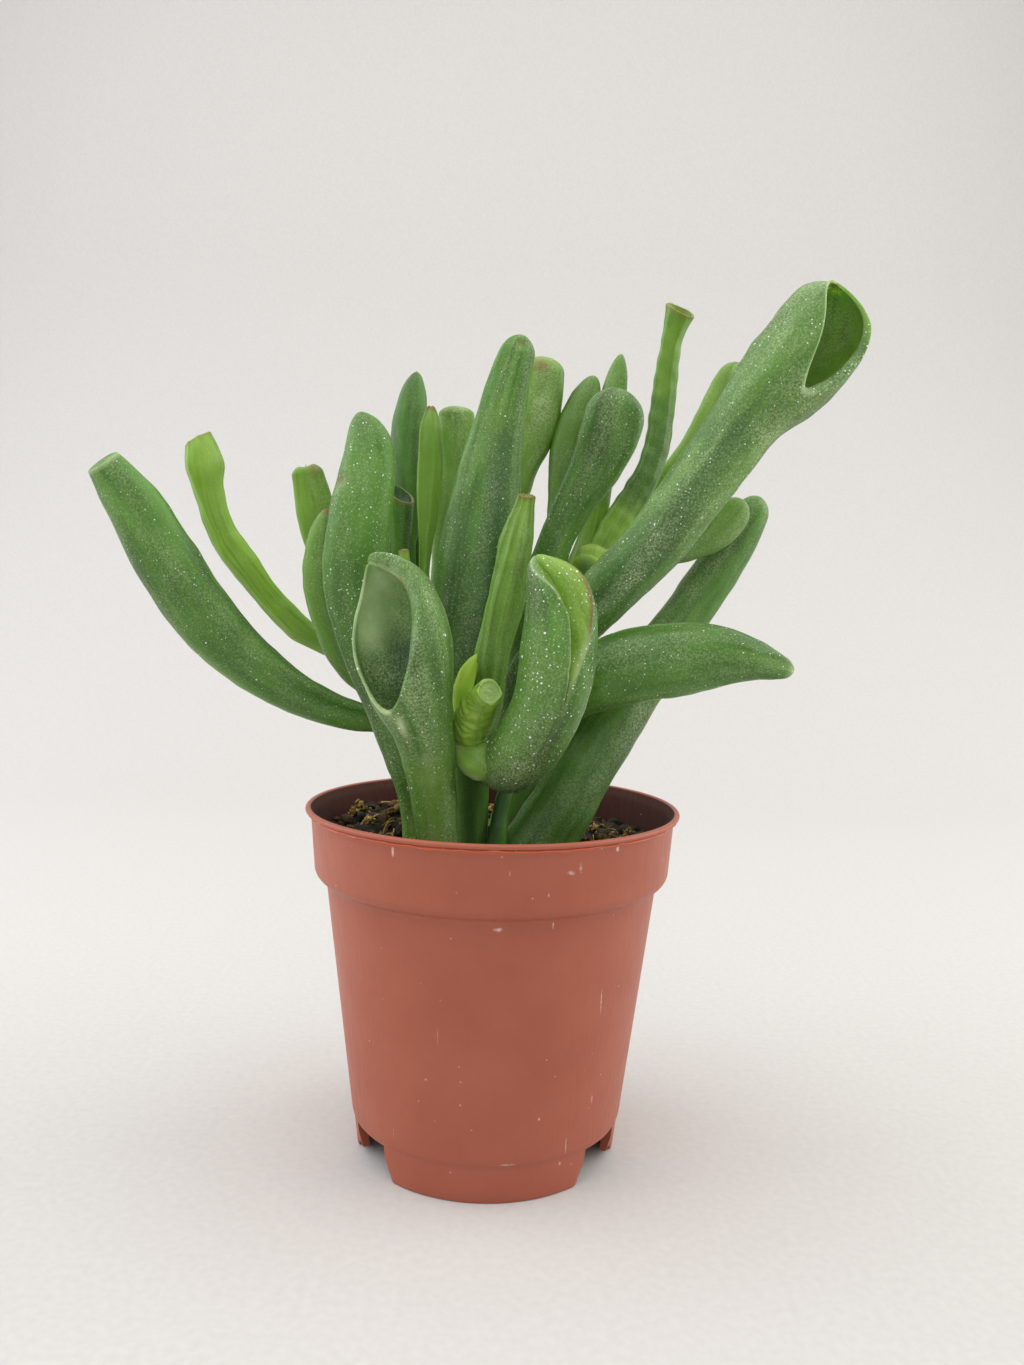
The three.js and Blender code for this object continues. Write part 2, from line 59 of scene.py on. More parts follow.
POT_HEIGHT = 51.0
LIP_RADIUS = 27.5
BAND_TOP_RADIUS = 26.7
BAND_LOW_RADIUS = 26.1
BAND_UNDERSIDE = 40.5
BAND_EDGE_RADIUS = 1.9
BODY_TOP_RADIUS = 24.4
BASE_RADIUS = 19.4
FOOT_LINE = 5.7
FOOT_RING_THICK = 1.2
FLOOR_UNDERSIDE = 5.2
WALL = 0.7
NOTCH_WIDTH = 8.2
NOTCH_DEPTH = 8.0
NOTCH_HEIGHT = 5.2
NOTCH_TURNS = (-33, 90, 213)
DRAINS = 6
DRAIN_RADIUS = 2.2
DRAIN_DEPTH = 4.0
DRAIN_CIRCLE = 12.5
SOIL_LEVEL = 45.3
SOIL_UNDERSIDE = 6.1


def pot_wall(z):
    """The radius of the pot's body at a height."""
    return BASE_RADIUS + (BODY_TOP_RADIUS - BASE_RADIUS) * z / BAND_UNDERSIDE


def place(points):
    """Millimetres from the pot's axis as metres in the frame."""
    return np.asarray(points, float) / 1000 + AXIS


def link_object(name, data):
    made = bpy.data.objects.new(name, data)
    bpy.context.scene.collection.objects.link(made)
    return made


# Camera, at the height and tilt that the pot's lip, band and foot give

CAMERA_DISTANCE = 159.5
CAMERA_HEIGHT = 81.0
CAMERA_PITCH = math.radians(4.24)
CAMERA_YAW = math.radians(0.84)
CAMERA_ROLL = math.radians(1.47)
FOCAL_PIXELS = 1082
PHOTO_HEIGHT = 1365
SENSOR_HEIGHT = 36


def stand_camera():
    ahead = Vector((
        math.sin(CAMERA_YAW) * math.cos(CAMERA_PITCH),
        math.cos(CAMERA_YAW) * math.cos(CAMERA_PITCH),
        -math.sin(CAMERA_PITCH),
    ))
    level = Vector((math.cos(CAMERA_YAW), -math.sin(CAMERA_YAW), 0))
    upright = level.cross(ahead)
    right = math.cos(CAMERA_ROLL) * level + math.sin(CAMERA_ROLL) * upright
    up = math.cos(CAMERA_ROLL) * upright - math.sin(CAMERA_ROLL) * level
    camera = link_object("plant_camera", bpy.data.cameras.new("plant_camera"))
    camera.data.sensor_fit = "VERTICAL"
    camera.data.sensor_height = SENSOR_HEIGHT
    camera.data.lens = FOCAL_PIXELS * SENSOR_HEIGHT / PHOTO_HEIGHT
    camera.data.clip_start = 0.01
    turn = Matrix((right, up, -ahead)).transposed().to_4x4()
    camera.matrix_world = Matrix.Translation(place((0, -CAMERA_DISTANCE, CAMERA_HEIGHT))) @ turn
    bpy.context.scene.camera = camera


stand_camera()


# Finishes

# What each point of a leaf carries for its skin: how young, pale, red or brown it is, how much salt and
# wax lies on it, and how dark its shade mark makes it: painted shade in hollows and under other leaves,
# and a deeper green elsewhere. A few young and pale marks are painted light.
MARK_KINDS = ("young", "pale", "red", "brown", "shade", "speck", "bloom")

# How wide the patterns of a leaf's skin are, in mm. The wax grains are drawn a little coarser than they
# are, so that they show.
CLOUD = 5.0
STREAK = 0.9
BLOOM_STRIP = 3.0
RUBBED_PATCH = 5.0
WAX_GRAIN = 0.26
PORE_SPACING = 0.42
SKIN_CELL = 0.5
# two lots of dried salt dots: how far apart they are in mm, and the widest one's radius as a share of it
SALT_DOTS = ((0.5, 0.24), (1.4, 0.15))

# how wide the patterns of the pot, the soil and the floor are, in mm
HAZE = 12.0
DUST_SPACING = 2.6
SCRATCH = 0.5
ORANGE_PEEL = 0.4
SOIL_GRAIN = 0.7
PAPER_TOOTH = 1.2

# Scuffs on the pot's wall: the angle from the front in degrees and the height, then how wide and how
# tall each is in mm, and how strong.
SCUFFS = [
    (-28.5, 48.9, 0.25, 0.9, 0.8), (-13, 50.1, 0.5, 0.25, 0.9), (5, 47.2, 0.15, 0.5, 0.5),
    (22.5, 46.9, 0.9, 0.5, 0.55), (25.5, 47.5, 0.4, 1.1, 0.45), (38, 49.4, 0.3, 0.5, 1.0),
    (34, 50.6, 0.5, 0.3, 0.7), (16, 44.2, 0.15, 0.5, 0.6), (20, 50.3, 0.4, 0.2, 0.7),
    (2.5, 39.3, 0.9, 0.35, 0.7), (19.5, 39.7, 0.12, 0.7, 0.8), (-9.5, 44.5, 0.12, 0.3, 0.5),
    (42, 27.5, 0.1, 2.6, 0.7), (-17, 24.0, 0.08, 2.0, 0.5), (44, 13.0, 0.2, 0.9, 0.6),
    (20, 12.2, 0.25, 0.25, 0.9), (-22, 17.5, 0.3, 0.35, 0.5), (9, 5.9, 1.5, 0.25, 0.6),
    (33, 7.2, 0.12, 1.9, 0.6), (31, 4.6, 0.25, 0.5, 0.7), (-38, 8.0, 0.12, 1.5, 0.4),
]
# a scuff reaches at least this far from front to back, in mm, so that it meets the wall all over
SCUFF_REACH = 0.8


def linear(hex_colour):
    """An sRGB hex colour as the linear RGBA that a shader takes."""
    parts = [int(hex_colour[i:i + 2], 16) / 255 for i in (1, 3, 5)]
    return tuple(c / 12.92 if c <= 0.04045 else ((c + 0.055) / 1.055) ** 2.4 for c in parts) + (1.0,)


def set_inputs(tree, node, inputs):
    """Sets or links a node's inputs: each is a number, a hex colour, a socket, or a node, whose first
    output is then the one that is linked."""
    for name, value in inputs.items():
        if isinstance(value, bpy.types.Node):
            value = value.outputs[0]
        if isinstance(value, bpy.types.NodeSocket):
            tree.links.new(value, node.inputs[name])
        else:
            node.inputs[name].default_value = linear(value) if isinstance(value, str) else value


def add_node(tree, kind, inputs=None, stops=(), **settings):
    """A shader node with its settings and inputs. A colour ramp also has stops, each a position and a hex
    colour or a grey level."""
    made = tree.nodes.new("ShaderNode" + kind)
    for name, value in settings.items():
        setattr(made, name, value)
    set_inputs(tree, made, inputs or {})
    if stops:
        elements = made.color_ramp.elements
        while len(elements) < len(stops):
            elements.new(0.5)
        for element, (position, colour) in zip(elements, stops):
            element.position = position
            element.color = linear(colour) if isinstance(colour, str) else (colour, colour, colour, 1)
    return made


def new_finish(name):
    finish = bpy.data.materials.new(name)
    finish.use_nodes = True
    return finish, finish.node_tree, finish.node_tree.nodes["Principled BSDF"]


def wax_bloom(tree, grain, place_on, patches, level):
    """How much powdery wax lies on a leaf: strips along it, rubbed off in patches."""
    stretched = add_node(tree, "Mapping", {"Vector": grain, "Scale": (1.0, 1.0, 0.13)})
    strips = add_node(tree, "TexNoise", {"Vector": stretched, "Scale": 1 / BLOOM_STRIP, "Detail": 2.0})
    strips = add_node(tree, "ValToRGB", {"Fac": strips}, stops=[(0.36, 0.12), (0.66, 1.0)])
    rubbed = add_node(tree, "ValToRGB", {"Fac": patches}, stops=[(0.3, 0.35), (0.65, 1.0)])
    bloom = add_node(tree, "Math", {0: strips, 1: rubbed}, operation="MULTIPLY", use_clamp=True)
    bloom = add_node(tree, "Math", {0: bloom, 1: level}, operation="MULTIPLY", use_clamp=True)
    powder = add_node(tree, "TexNoise", {"Vector": place_on, "Scale": 1000 / WAX_GRAIN, "Detail": 1.0,
                                         "Roughness": 0.5})
    powder = add_node(tree, "ValToRGB", {"Fac": powder}, stops=[(0.42, 0.2), (0.62, 1.0)])
    grainy = add_node(tree, "Math", {0: bloom, 1: powder}, operation="MULTIPLY", use_clamp=True)
    return bloom, grainy


def salt_dots(tree, place_on, level):
    """Round dots of dried sap salt, of many sizes up to 0.4 mm wide."""
    dots = []
    for spacing, widest in SALT_DOTS:
        cells = add_node(tree, "TexVoronoi", {"Vector": place_on, "Scale": 1000 / spacing})
        chance = add_node(tree, "SeparateXYZ", {0: cells.outputs["Color"]})
        chance = add_node(tree, "Math", {0: chance, 1: 1.7}, operation="POWER")
        reach = add_node(tree, "Math", {0: chance, 1: level}, operation="MULTIPLY", use_clamp=True)
        reach = add_node(tree, "Math", {0: reach, 1: widest}, operation="MULTIPLY", use_clamp=True)
        inward = add_node(tree, "Math", {0: reach, 1: cells.outputs["Distance"]}, operation="SUBTRACT")
        dots.append(add_node(tree, "Math", {0: inward, 1: 30.0}, operation="MULTIPLY", use_clamp=True))
    return add_node(tree, "Math", {0: dots[0], 1: dots[1]}, operation="MAXIMUM")


def leaf_skin(name, deep, middle, light, young, gloss, glow):
    """Living leaf skin: a clean saturated green, dulled in lengthwise strips and patches by a powdery
    bloom of wax, with pale pores, dried white dots of sap salt and a soft broad highlight."""
    finish, tree, shader = new_finish(name)
    grain = add_node(tree, "Attribute", attribute_name="grain").outputs["Vector"]
    place_on = add_node(tree, "TexCoord").outputs["Object"]
    masks = {}
    for kind in MARK_KINDS:
        masks[kind] = add_node(tree, "Attribute", attribute_name=kind).outputs["Fac"]

    # clouds of lighter and darker green, drawn out along the leaf
    drawn_out = add_node(tree, "Mapping", {"Vector": grain, "Scale": (1.0, 1.0, 0.25)})
    clouds = add_node(tree, "TexNoise", {"Vector": drawn_out, "Scale": 1 / CLOUD, "Detail": 3.0,
                                         "Roughness": 0.5})
    green = add_node(tree, "ValToRGB", {"Fac": clouds}, stops=[(0.3, deep), (0.5, middle), (0.7, light)])
    fresh = add_node(tree, "ValToRGB", {"Fac": clouds}, stops=[(0.3, young[0]), (0.7, young[1])])
    green = add_node(tree, "MixRGB", {"Fac": masks["young"], "Color1": green, "Color2": fresh})
    # fine lengthwise streaks, lighter and deeper
    stretched = add_node(tree, "Mapping", {"Vector": grain, "Scale": (1.0, 1.0, 0.07)})
    streaks = add_node(tree, "TexNoise", {"Vector": stretched, "Scale": 1 / STREAK, "Detail": 3.0})
    for colour, stops in ((light, [(0.5, 0.0), (0.75, 0.5)]), (deep, [(0.25, 0.6), (0.47, 0.0)])):
        share = add_node(tree, "ValToRGB", {"Fac": streaks}, stops=stops)
        green = add_node(tree, "MixRGB", {"Fac": share, "Color1": green, "Color2": colour})
    # the shade mark mixes in a dark green: painted shade in mouths, cups and under other leaves, and a
    # deeper tone elsewhere
    green = add_node(tree, "MixRGB", {"Fac": masks["shade"], "Color1": green, "Color2": "#274C26"})

    patches = add_node(tree, "TexNoise", {"Vector": place_on, "Scale": 1000 / RUBBED_PATCH,
                                          "Detail": 4.0, "Roughness": 0.6})
    bloom, grainy = wax_bloom(tree, grain, place_on, patches, masks["bloom"])
    green = add_node(tree, "MixRGB", {"Fac": grainy, "Color1": green, "Color2": "#A9BC88"})
    pores = add_node(tree, "TexVoronoi", {"Vector": place_on, "Scale": 1000 / PORE_SPACING})
    pores = add_node(tree, "ValToRGB", {"Fac": pores}, stops=[(0.16, 0.3), (0.34, 0.0)])
    pores = add_node(tree, "Math", {0: pores, 1: masks["speck"]}, operation="MULTIPLY", use_clamp=True)
    green = add_node(tree, "MixRGB", {"Fac": pores, "Color1": green, "Color2": "#B5C890"})
    broken = add_node(tree, "ValToRGB", {"Fac": patches}, stops=[(0.3, 0.6), (0.6, 1.0)])
    for kind, colour in (("pale", "#BFD09C"), ("red", "#84392C"), ("brown", "#8A6A3C")):
        share = add_node(tree, "Math", {0: masks[kind], 1: broken}, operation="MULTIPLY", use_clamp=True)
        green = add_node(tree, "MixRGB", {"Fac": share, "Color1": green, "Color2": colour})
    dots = salt_dots(tree, place_on, masks["speck"])
    green = add_node(tree, "MixRGB", {"Fac": dots, "Color1": green, "Color2": "#F0F6EE"})

    # the bloom dulls the skin, and cells, dots and streaks stand up from it
    rough = add_node(tree, "ValToRGB", {"Fac": bloom}, stops=[(0.0, gloss), (0.8, gloss + 0.2)])
    cells = add_node(tree, "TexNoise", {"Vector": place_on, "Scale": 1000 / SKIN_CELL, "Detail": 3.0,
                                        "Roughness": 0.6})
    relief = add_node(tree, "Math", {0: cells, 1: 0.5, 2: dots}, operation="MULTIPLY_ADD")
    relief = add_node(tree, "Math", {0: streaks, 1: 1.0, 2: relief}, operation="MULTIPLY_ADD")
    bump = add_node(tree, "Bump", {"Strength": 0.45, "Distance": 0.00012, "Height": relief})
    set_inputs(tree, shader, {
        "Base Color": green, "Roughness": rough, "Normal": bump, "IOR": 1.43,
        "Sheen Weight": 0.08, "Sheen Roughness": 0.3, "Sheen Tint": "#D4E6C4",
        "Subsurface Weight": glow, "Subsurface Radius": (0.8, 1.5, 0.25), "Subsurface Scale": 0.001,
    })
    return finish


def scuff_strength(tree, place_on):
    """How strong the scuffs are at each place: its own level in the middle of one, and 0 away from all."""
    strongest = None
    for turn, height, wide, tall, level in SCUFFS:
        radius = BAND_TOP_RADIUS - 0.2 if height > BAND_UNDERSIDE else pot_wall(height)
        turn = math.radians(turn)
        spot = place((radius * math.sin(turn), -radius * math.cos(turn), height))
        grown = (1000 / wide, 1000 / max(wide, SCUFF_REACH), 1000 / tall)
        off = add_node(tree, "VectorMath", {0: place_on, 1: tuple(spot)}, operation="SUBTRACT")
        off = add_node(tree, "VectorMath", {0: off, 1: grown}, operation="MULTIPLY")
        off = add_node(tree, "VectorMath", {0: off}, operation="LENGTH").outputs["Value"]
        near = add_node(tree, "Math", {0: off, 1: -0.8 * level, 2: level},
                        operation="MULTIPLY_ADD", use_clamp=True)
        if strongest is None:
            strongest = near
        else:
            strongest = add_node(tree, "Math", {0: strongest, 1: near}, operation="MAXIMUM")
    return strongest


def moulded_pot_plastic():
    """Injection-moulded polypropylene, terracotta coloured: an even satin with a faint dusty haze, fine
    handling scratches and the odd white scuff."""
    finish, tree, shader = new_finish("moulded_terracotta_polypropylene")
    place_on = add_node(tree, "TexCoord").outputs["Object"]
    # the inner wall is painted dark brown, as shade
    inner = add_node(tree, "Attribute", attribute_name="inner").outputs["Fac"]
    # the flash line is painted bright orange, a painted highlight where its burr catches the light
    flash_highlight = add_node(tree, "Attribute", attribute_name="flash_highlight").outputs["Fac"]
    haze = add_node(tree, "TexNoise", {"Vector": place_on, "Scale": 1000 / HAZE, "Detail": 4.0,
                                       "Roughness": 0.6})
    colour = add_node(tree, "ValToRGB", {"Fac": haze}, stops=[(0.3, "#A2523A"), (0.7, "#AA5B43")])
    # specks of dust a fifth to a third of a millimetre wide
    dust = add_node(tree, "TexVoronoi", {"Vector": place_on, "Scale": 1000 / DUST_SPACING})
    dust = add_node(tree, "ValToRGB", {"Fac": dust}, stops=[(0.035, 0.55), (0.06, 0.0)])
    ragged = add_node(tree, "TexNoise", {"Vector": place_on, "Scale": 1000 / ORANGE_PEEL, "Detail": 3.0})
    scuffs = scuff_strength(tree, place_on)
    scuffs = add_node(tree, "Math", {0: ragged, 1: scuffs}, operation="MULTIPLY")
    scuffs = add_node(tree, "ValToRGB", {"Fac": scuffs}, stops=[(0.1, 0.0), (0.4, 0.8)])
    for share, over in ((inner, "#471C10"), (flash_highlight, "#E2704C"), (dust, "#D9B7A6"), (scuffs, "#E8D2C6")):
        colour = add_node(tree, "MixRGB", {"Fac": share, "Color1": colour, "Color2": over})

    # hair-thin upright scratches from stacking
    stacked = add_node(tree, "Mapping", {"Vector": place_on, "Scale": (1.0, 1.0, 0.04)})
    scratches = add_node(tree, "TexNoise", {"Vector": stacked, "Scale": 1000 / SCRATCH, "Detail": 2.0})
    rough = add_node(tree, "ValToRGB", {"Fac": scratches}, stops=[(0.35, 0.4), (0.7, 0.5)])
    rough = add_node(tree, "Math", {0: inner, 1: 0.4, 2: rough}, operation="MULTIPLY_ADD")
    relief = add_node(tree, "Math", {0: scratches, 1: ragged}, operation="ADD")
    bump = add_node(tree, "Bump", {"Strength": 0.4, "Distance": 0.00005, "Height": relief})
    set_inputs(tree, shader, {
        "Base Color": colour, "Roughness": rough, "Normal": bump, "IOR": 1.49,
        "Subsurface Weight": 0.05, "Subsurface Radius": (1.2, 0.5, 0.3), "Subsurface Scale": 0.001,
    })
    return finish


def damp_potting_soil():
    """Peat and bark, milled and damp: brown and ochre crumbs on dark peat, painted near black in the
    hollows of its grain, partly as the peat's own colour and partly as shade.
    """
    finish, tree, shader = new_finish("milled_damp_peat_and_bark")
    place_on = add_node(tree, "TexCoord").outputs["Object"]
    tone = add_node(tree, "Attribute", attribute_name="tone").outputs["Fac"]
    grains = add_node(tree, "TexNoise", {"Vector": place_on, "Scale": 1000 / SOIL_GRAIN, "Detail": 6.0,
                                         "Roughness": 0.75})
    # the grain that raises the bump also darkens its low places: painted shade in its hollows
    mixed = add_node(tree, "Math", {0: grains, 1: 0.6, 2: tone}, operation="MULTIPLY_ADD")
    colour = add_node(tree, "ValToRGB", {"Fac": mixed}, stops=[
        (0.25, "#140E08"), (0.45, "#33230F"), (0.65, "#634719"), (0.85, "#9A7A36"), (1.0, "#C2A760")])
    bump = add_node(tree, "Bump", {"Strength": 0.8, "Distance": 0.0002, "Height": grains})
    set_inputs(tree, shader, {"Base Color": colour, "Normal": bump, "Roughness": 0.85})
    return finish


def plain_paper():
    """The smooth pale sheet that the pot stands on."""
    finish, tree, shader = new_finish("matt_pale_paper")
    place_on = add_node(tree, "TexCoord").outputs["Object"]
    tooth = add_node(tree, "TexNoise", {"Vector": place_on, "Scale": 1000 / PAPER_TOOTH, "Detail": 4.0})
    colour = add_node(tree, "ValToRGB", {"Fac": tooth}, stops=[(0.3, "#C7C5C2"), (0.7, "#CDCBC8")])
    set_inputs(tree, shader, {"Base Color": colour, "Roughness": 0.9})
    return finish


MATURE_LEAF = leaf_skin("waxy_mature_leaf_skin", "#2A4A10", "#41701A", "#5A8C2C",
                        ("#7AA81F", "#98C238"), 0.36, 0.15)
YOUNG_LEAF = leaf_skin("glossy_young_leaf_skin", "#3F6E12", "#5A901E", "#7CAE33",
                       ("#8CB81E", "#B2D24A"), 0.34, 0.22)
STEM_SKIN = leaf_skin("smooth_green_stem_skin", "#4A781D", "#5C8C28", "#78A440",
                      ("#90B630", "#B6CE68"), 0.36, 0.2)
POT_PLASTIC = moulded_pot_plastic()
SOIL_FINISH = damp_potting_soil()


# Leaves and stems

# how many rings round off a closed tip and a mouth's lip
TIP_RINGS = 20
LIP_RINGS = 12
# an edge that a leaf doesn't have lies this far off, in mm
FAR_OFF = 99.0
# how wide a skin's low swellings, fine ripples and wrinkles are, in mm, and how far the form fades in
# from the base
SWELLING = 6.0
RIPPLE = 1.7
WRINKLE = 0.8
BASE_FADE = 2.0
# how far up the base of a leaf is young, in mm, and over how many degrees a lip's colour fades out
YOUNG_BASE = 14.0
LIP_FADE = 12.0
# how wide the pale and red edges of a fold are, in mm
FOLD_EDGE = 0.18
FOLD_RIM = 0.3


def along_line(points, share):
    """Points on the smooth line through the given ones, at shares of it from 0 to 1."""
    points = np.asarray(points, float).reshape(len(points), -1)
    padded = np.vstack([2 * points[0] - points[1], points, 2 * points[-1] - points[-2]])
    x = np.clip(share, 0, 1) * (len(points) - 1)
    i = np.minimum(x.astype(int), len(points) - 2)
    t = (x - i)[..., None]
    a, b, c, d = (padded[i + k] for k in range(4))
    return 0.5 * (2 * b + (c - a) * t + (2 * a - 5 * b + 4 * c - d) * t**2 + (3 * b - a - 3 * c + d) * t**3)


def evened(points, count, end=()):
    """A leaf's line and half widths at even steps along it, each to a tenth of a millimetre, from points
    of x, y, z and half width that are set closer together where its form changes more. end takes the
    place of the last ones, where the tip bends or opens otherwise."""
    fine = along_line(points, np.linspace(0, 1, 2001))
    steps = np.linalg.norm(np.diff(fine[:, :3], axis=0), axis=1)
    reached = np.concatenate([[0], np.cumsum(steps)])
    even = np.linspace(0, reached[-1], count)
    rows = np.round(np.stack([np.interp(even, reached, fine[:, k]) for k in range(4)], axis=-1), 1)
    if end:
        rows[-len(end):] = end
    return dict(line=rows[:, :3], half=rows[:, 3])


def unit(vectors):
    return vectors / np.maximum(np.linalg.norm(vectors, axis=-1, keepdims=True), 1e-9)


def smooth(x):
    """0 below 0, 1 above 1 and a soft rise between."""
    x = np.clip(x, 0, 1)
    return x * x * (3 - 2 * x)


def wrapped(angle):
    return (angle + math.pi) % (2 * math.pi) - math.pi


def lumps(points, size, seed, waves=9):
    """A smooth random field of about -1 to 1 with lumps of that size in mm, the same each run."""
    source = np.random.RandomState(seed)
    total = np.zeros(points.shape[:-1])
    for _ in range(waves):
        direction = unit(source.normal(size=3)) * 2 * math.pi / (size * source.uniform(1.3, 2.6))
        total += np.cos(points @ direction + source.uniform(0, 2 * math.pi))
    return total / math.sqrt(waves)


def distance_to_path(points, path):
    path = np.asarray(path, float).reshape(-1, 3)
    nearest = np.linalg.norm(points - path[0], axis=-1)
    for a, b in zip(path[:-1], path[1:]):
        run = b - a
        share = np.clip(((points - a) @ run) / (run @ run), 0, 1)
        nearest = np.minimum(nearest, np.linalg.norm(points - (a + share[..., None] * run), axis=-1))
    return nearest


class Tube:
    """A leaf or stem: a line from base to tip, with half its width at even steps along the line.

    thick is its thickness as a share of its width, and face is the way that its flat side looks. tip is
    the length over which a closed end rounds off, and blunt how square it is.

    mouth cuts the end open. slant is how far the lip slopes down the leaf to its lowest point, and opens
    is the way that this point looks. spread is the degrees to each side over which the lip rises to its
    top, and wall is how thick it is, all round or by degrees away from the lowest point. depth is how
    far below the lip the floor inside lies, and a dished mouth is flat and shallow. short is how many
    walls the lip of a rounded tip stays below the end of the line.

    fold sinks a groove between two lips. depth is its depth as a share of the radius. Each row of lips is
    a share of the length, and how many degrees to the right of the flat side's middle the near lip and
    the far rim lie there."""

    def __init__(self, line, half, thick, face=FRONT, tip=0.0, mouth=None, fold=None, blunt=2.0):
        self.line = np.array(line, float)
        self.half = np.array(half, float)
        self.thick = thick
        self.face = np.array(face, float)
        self.tip = tip
        self.mouth = mouth
        self.fold = fold
        self.blunt = blunt
        steps = along_line(self.line, np.linspace(0, 1, 201))
        self.length = np.linalg.norm(np.diff(steps, axis=0), axis=1).sum()

    def frame_at(self, s):
        """The middle of the tube at shares of its length, and the ways ahead, across and out of it."""
        step = 1e-4
        kept = np.clip(s, 2 * step, 1 - 2 * step)
        ahead = unit(along_line(self.line, kept + step) - along_line(self.line, kept - step))
        # a lip's rounding runs on a little past the end of the line
        centre = along_line(self.line, s) + (np.maximum(s - 1, 0) * self.length)[..., None] * ahead
        out = unit(self.face - (ahead @ self.face)[..., None] * ahead)
        return centre, ahead, np.cross(ahead, out), out

    def half_width(self, s):
        width = along_line(self.half, s)[..., 0]
        if self.tip:
            start = 1 - self.tip / self.length
            share = np.maximum(s - start, 0) / (1 - start)
            width = width * np.clip(1 - share**self.blunt, 0, 1) ** (1 / self.blunt)
        return width

    def angle_of(self, direction, s):
        _, _, across, out = self.frame_at(np.asarray(s, float))
        direction = np.array(direction, float)
        return np.arctan2((out @ direction) / self.thick, across @ direction)

    def fold_share(self, s, angle):
        """Where a point lies between the fold's near lip, 0, and its far rim, 1, and how wide the fold
        is there in degrees."""
        stations = np.array(self.fold["lips"], float)
        near = np.interp(s, stations[:, 0], stations[:, 1])
        far = np.interp(s, stations[:, 0], stations[:, 2])
        turned = -np.degrees(wrapped(angle - math.pi / 2))
        return (turned - near) / np.maximum(far - near, 0.5), far - near

    def surface_point(self, s, angle, radius):
        centre, _, across, out = self.frame_at(s)
        if self.fold:
            # the groove is steep under the near lip, easy under the far rim, and shallow where narrow
            share, wide = self.fold_share(s, angle)
            floor = smooth(share / 0.16) * np.clip(1 - share, 0, 1) ** 0.75 * (share > 0)
            radius = radius * (1 - self.fold["depth"] * np.clip(wide / 30, 0, 1) * floor)
        sideways = (radius * np.cos(angle))[..., None] * across
        return centre + sideways + (radius * self.thick * np.sin(angle))[..., None] * out

    def skin(self, sides, rings):
        """The skin as rings of points, from base to tip, and pole, the middle of the last ring. Each
        point has its share of the length s and its angle, how far inside the mouth it is, its distance
        from the outer and the inner edge of the mouth's lip, and its angle away from the lip's lowest
        point."""
        angle = np.linspace(0, 2 * math.pi, sides, endpoint=False)
        if self.fold:
            # the points crowd together where the fold is
            angle = angle - 0.55 * np.sin(angle - math.pi / 2 + math.radians(35))
        return self.closed_skin(angle, rings) if self.mouth is None else self.open_skin(angle, rings)

    def closed_skin(self, round_angle, rings):
        start = 1 - max(self.tip, 0.5) / self.length
        cap = start + (1 - start) * np.sin(np.linspace(0, math.pi / 2, TIP_RINGS)[1:-1])
        s = np.concatenate([np.linspace(0, start, rings + 1), cap])
        s = np.tile(s[:, None], (1, len(round_angle)))
        angle = np.tile(round_angle, (len(s), 1))
        return SimpleNamespace(
            points=self.surface_point(s, angle, self.half_width(s)), s=s, angle=angle,
            inside=np.zeros_like(s), outer=np.full_like(s, FAR_OFF), inner=np.full_like(s, FAR_OFF),
            away=np.zeros_like(s), pole=self.surface_point(np.array(1.0), np.array(0.0), np.array(0.0)))

    def open_skin(self, round_angle, rings):
        mouth = self.mouth
        dished = mouth.get("dished", False)
        away = wrapped(round_angle - self.angle_of(mouth["opens"], 0.9))
        walls = np.array(mouth["wall"] if np.ndim(mouth["wall"]) else [(0, mouth["wall"])], float)
        wall = np.interp(np.degrees(away), walls[:, 0], walls[:, 1], period=360)
        top = 1 - (mouth.get("short", 1.3) * wall.min() / self.length if self.tip else 0)
        low, high = (math.radians(a) for a in mouth.get("spread", (180, 180)))
        share = np.clip(np.where(away < 0, -away / low, away / high), 0, 1)
        rim_s = top - mouth["slant"] / self.length * np.cos(share * math.pi / 2) ** 2
        pit = top - (mouth["slant"] / (2 if dished else 1) + mouth["depth"]) / self.length
        made = []

        def add_ring(s, width, inside, outer, inner):
            made.append((s, width, np.full(len(s), inside), outer, inner))

        for k in np.linspace(0, 1, rings + 1):
            below = (rim_s - rim_s * k) * self.length
            add_ring(rim_s * k, self.half_width(rim_s * k), 0.0, below, wall + below)
        # a rounded lip, half a wall thick, between the outer and the inner skin
        for turn in np.linspace(0, math.pi, LIP_RINGS)[1:-1]:
            s = rim_s + 0.45 * wall * math.sin(turn) / self.length
            width = self.half_width(rim_s) - wall * (1 - math.cos(turn)) / 2
            over = turn / math.pi * wall
            add_ring(s, width, turn / math.pi, over, wall - over)
        # the mouth's inside narrows to its floor, and a dished one is flat and shallow
        for q in np.linspace(0, 1, max(6, int(rings * 0.5)), endpoint=False):
            s = rim_s * (1 - q) + pit * q
            narrowing = 1 - q if dished else math.sqrt(1 - q**2.2)
            width = np.maximum(self.half_width(rim_s if dished else s) - wall, 0.1) * narrowing
            below = np.abs(rim_s - s) * self.length
            add_ring(s, width, 1.0 + q, below + wall, below)
        s, width, inside, outer, inner = np.array(made).transpose(1, 0, 2)
        angle = np.tile(round_angle, (len(s), 1))
        return SimpleNamespace(
            points=self.surface_point(s, angle, width), s=s, angle=angle, inside=inside, outer=outer,
            inner=inner, away=np.tile(np.degrees(away), (len(s), 1)),
            pole=self.surface_point(np.array(pit), np.array(0.0), np.array(0.0)))


def with_poles(rings, first, last):
    """Each ring's values in one row, then the middle of the first ring and of the last."""
    return np.concatenate([rings.reshape(-1, *rings.shape[2:]), [first, last]])


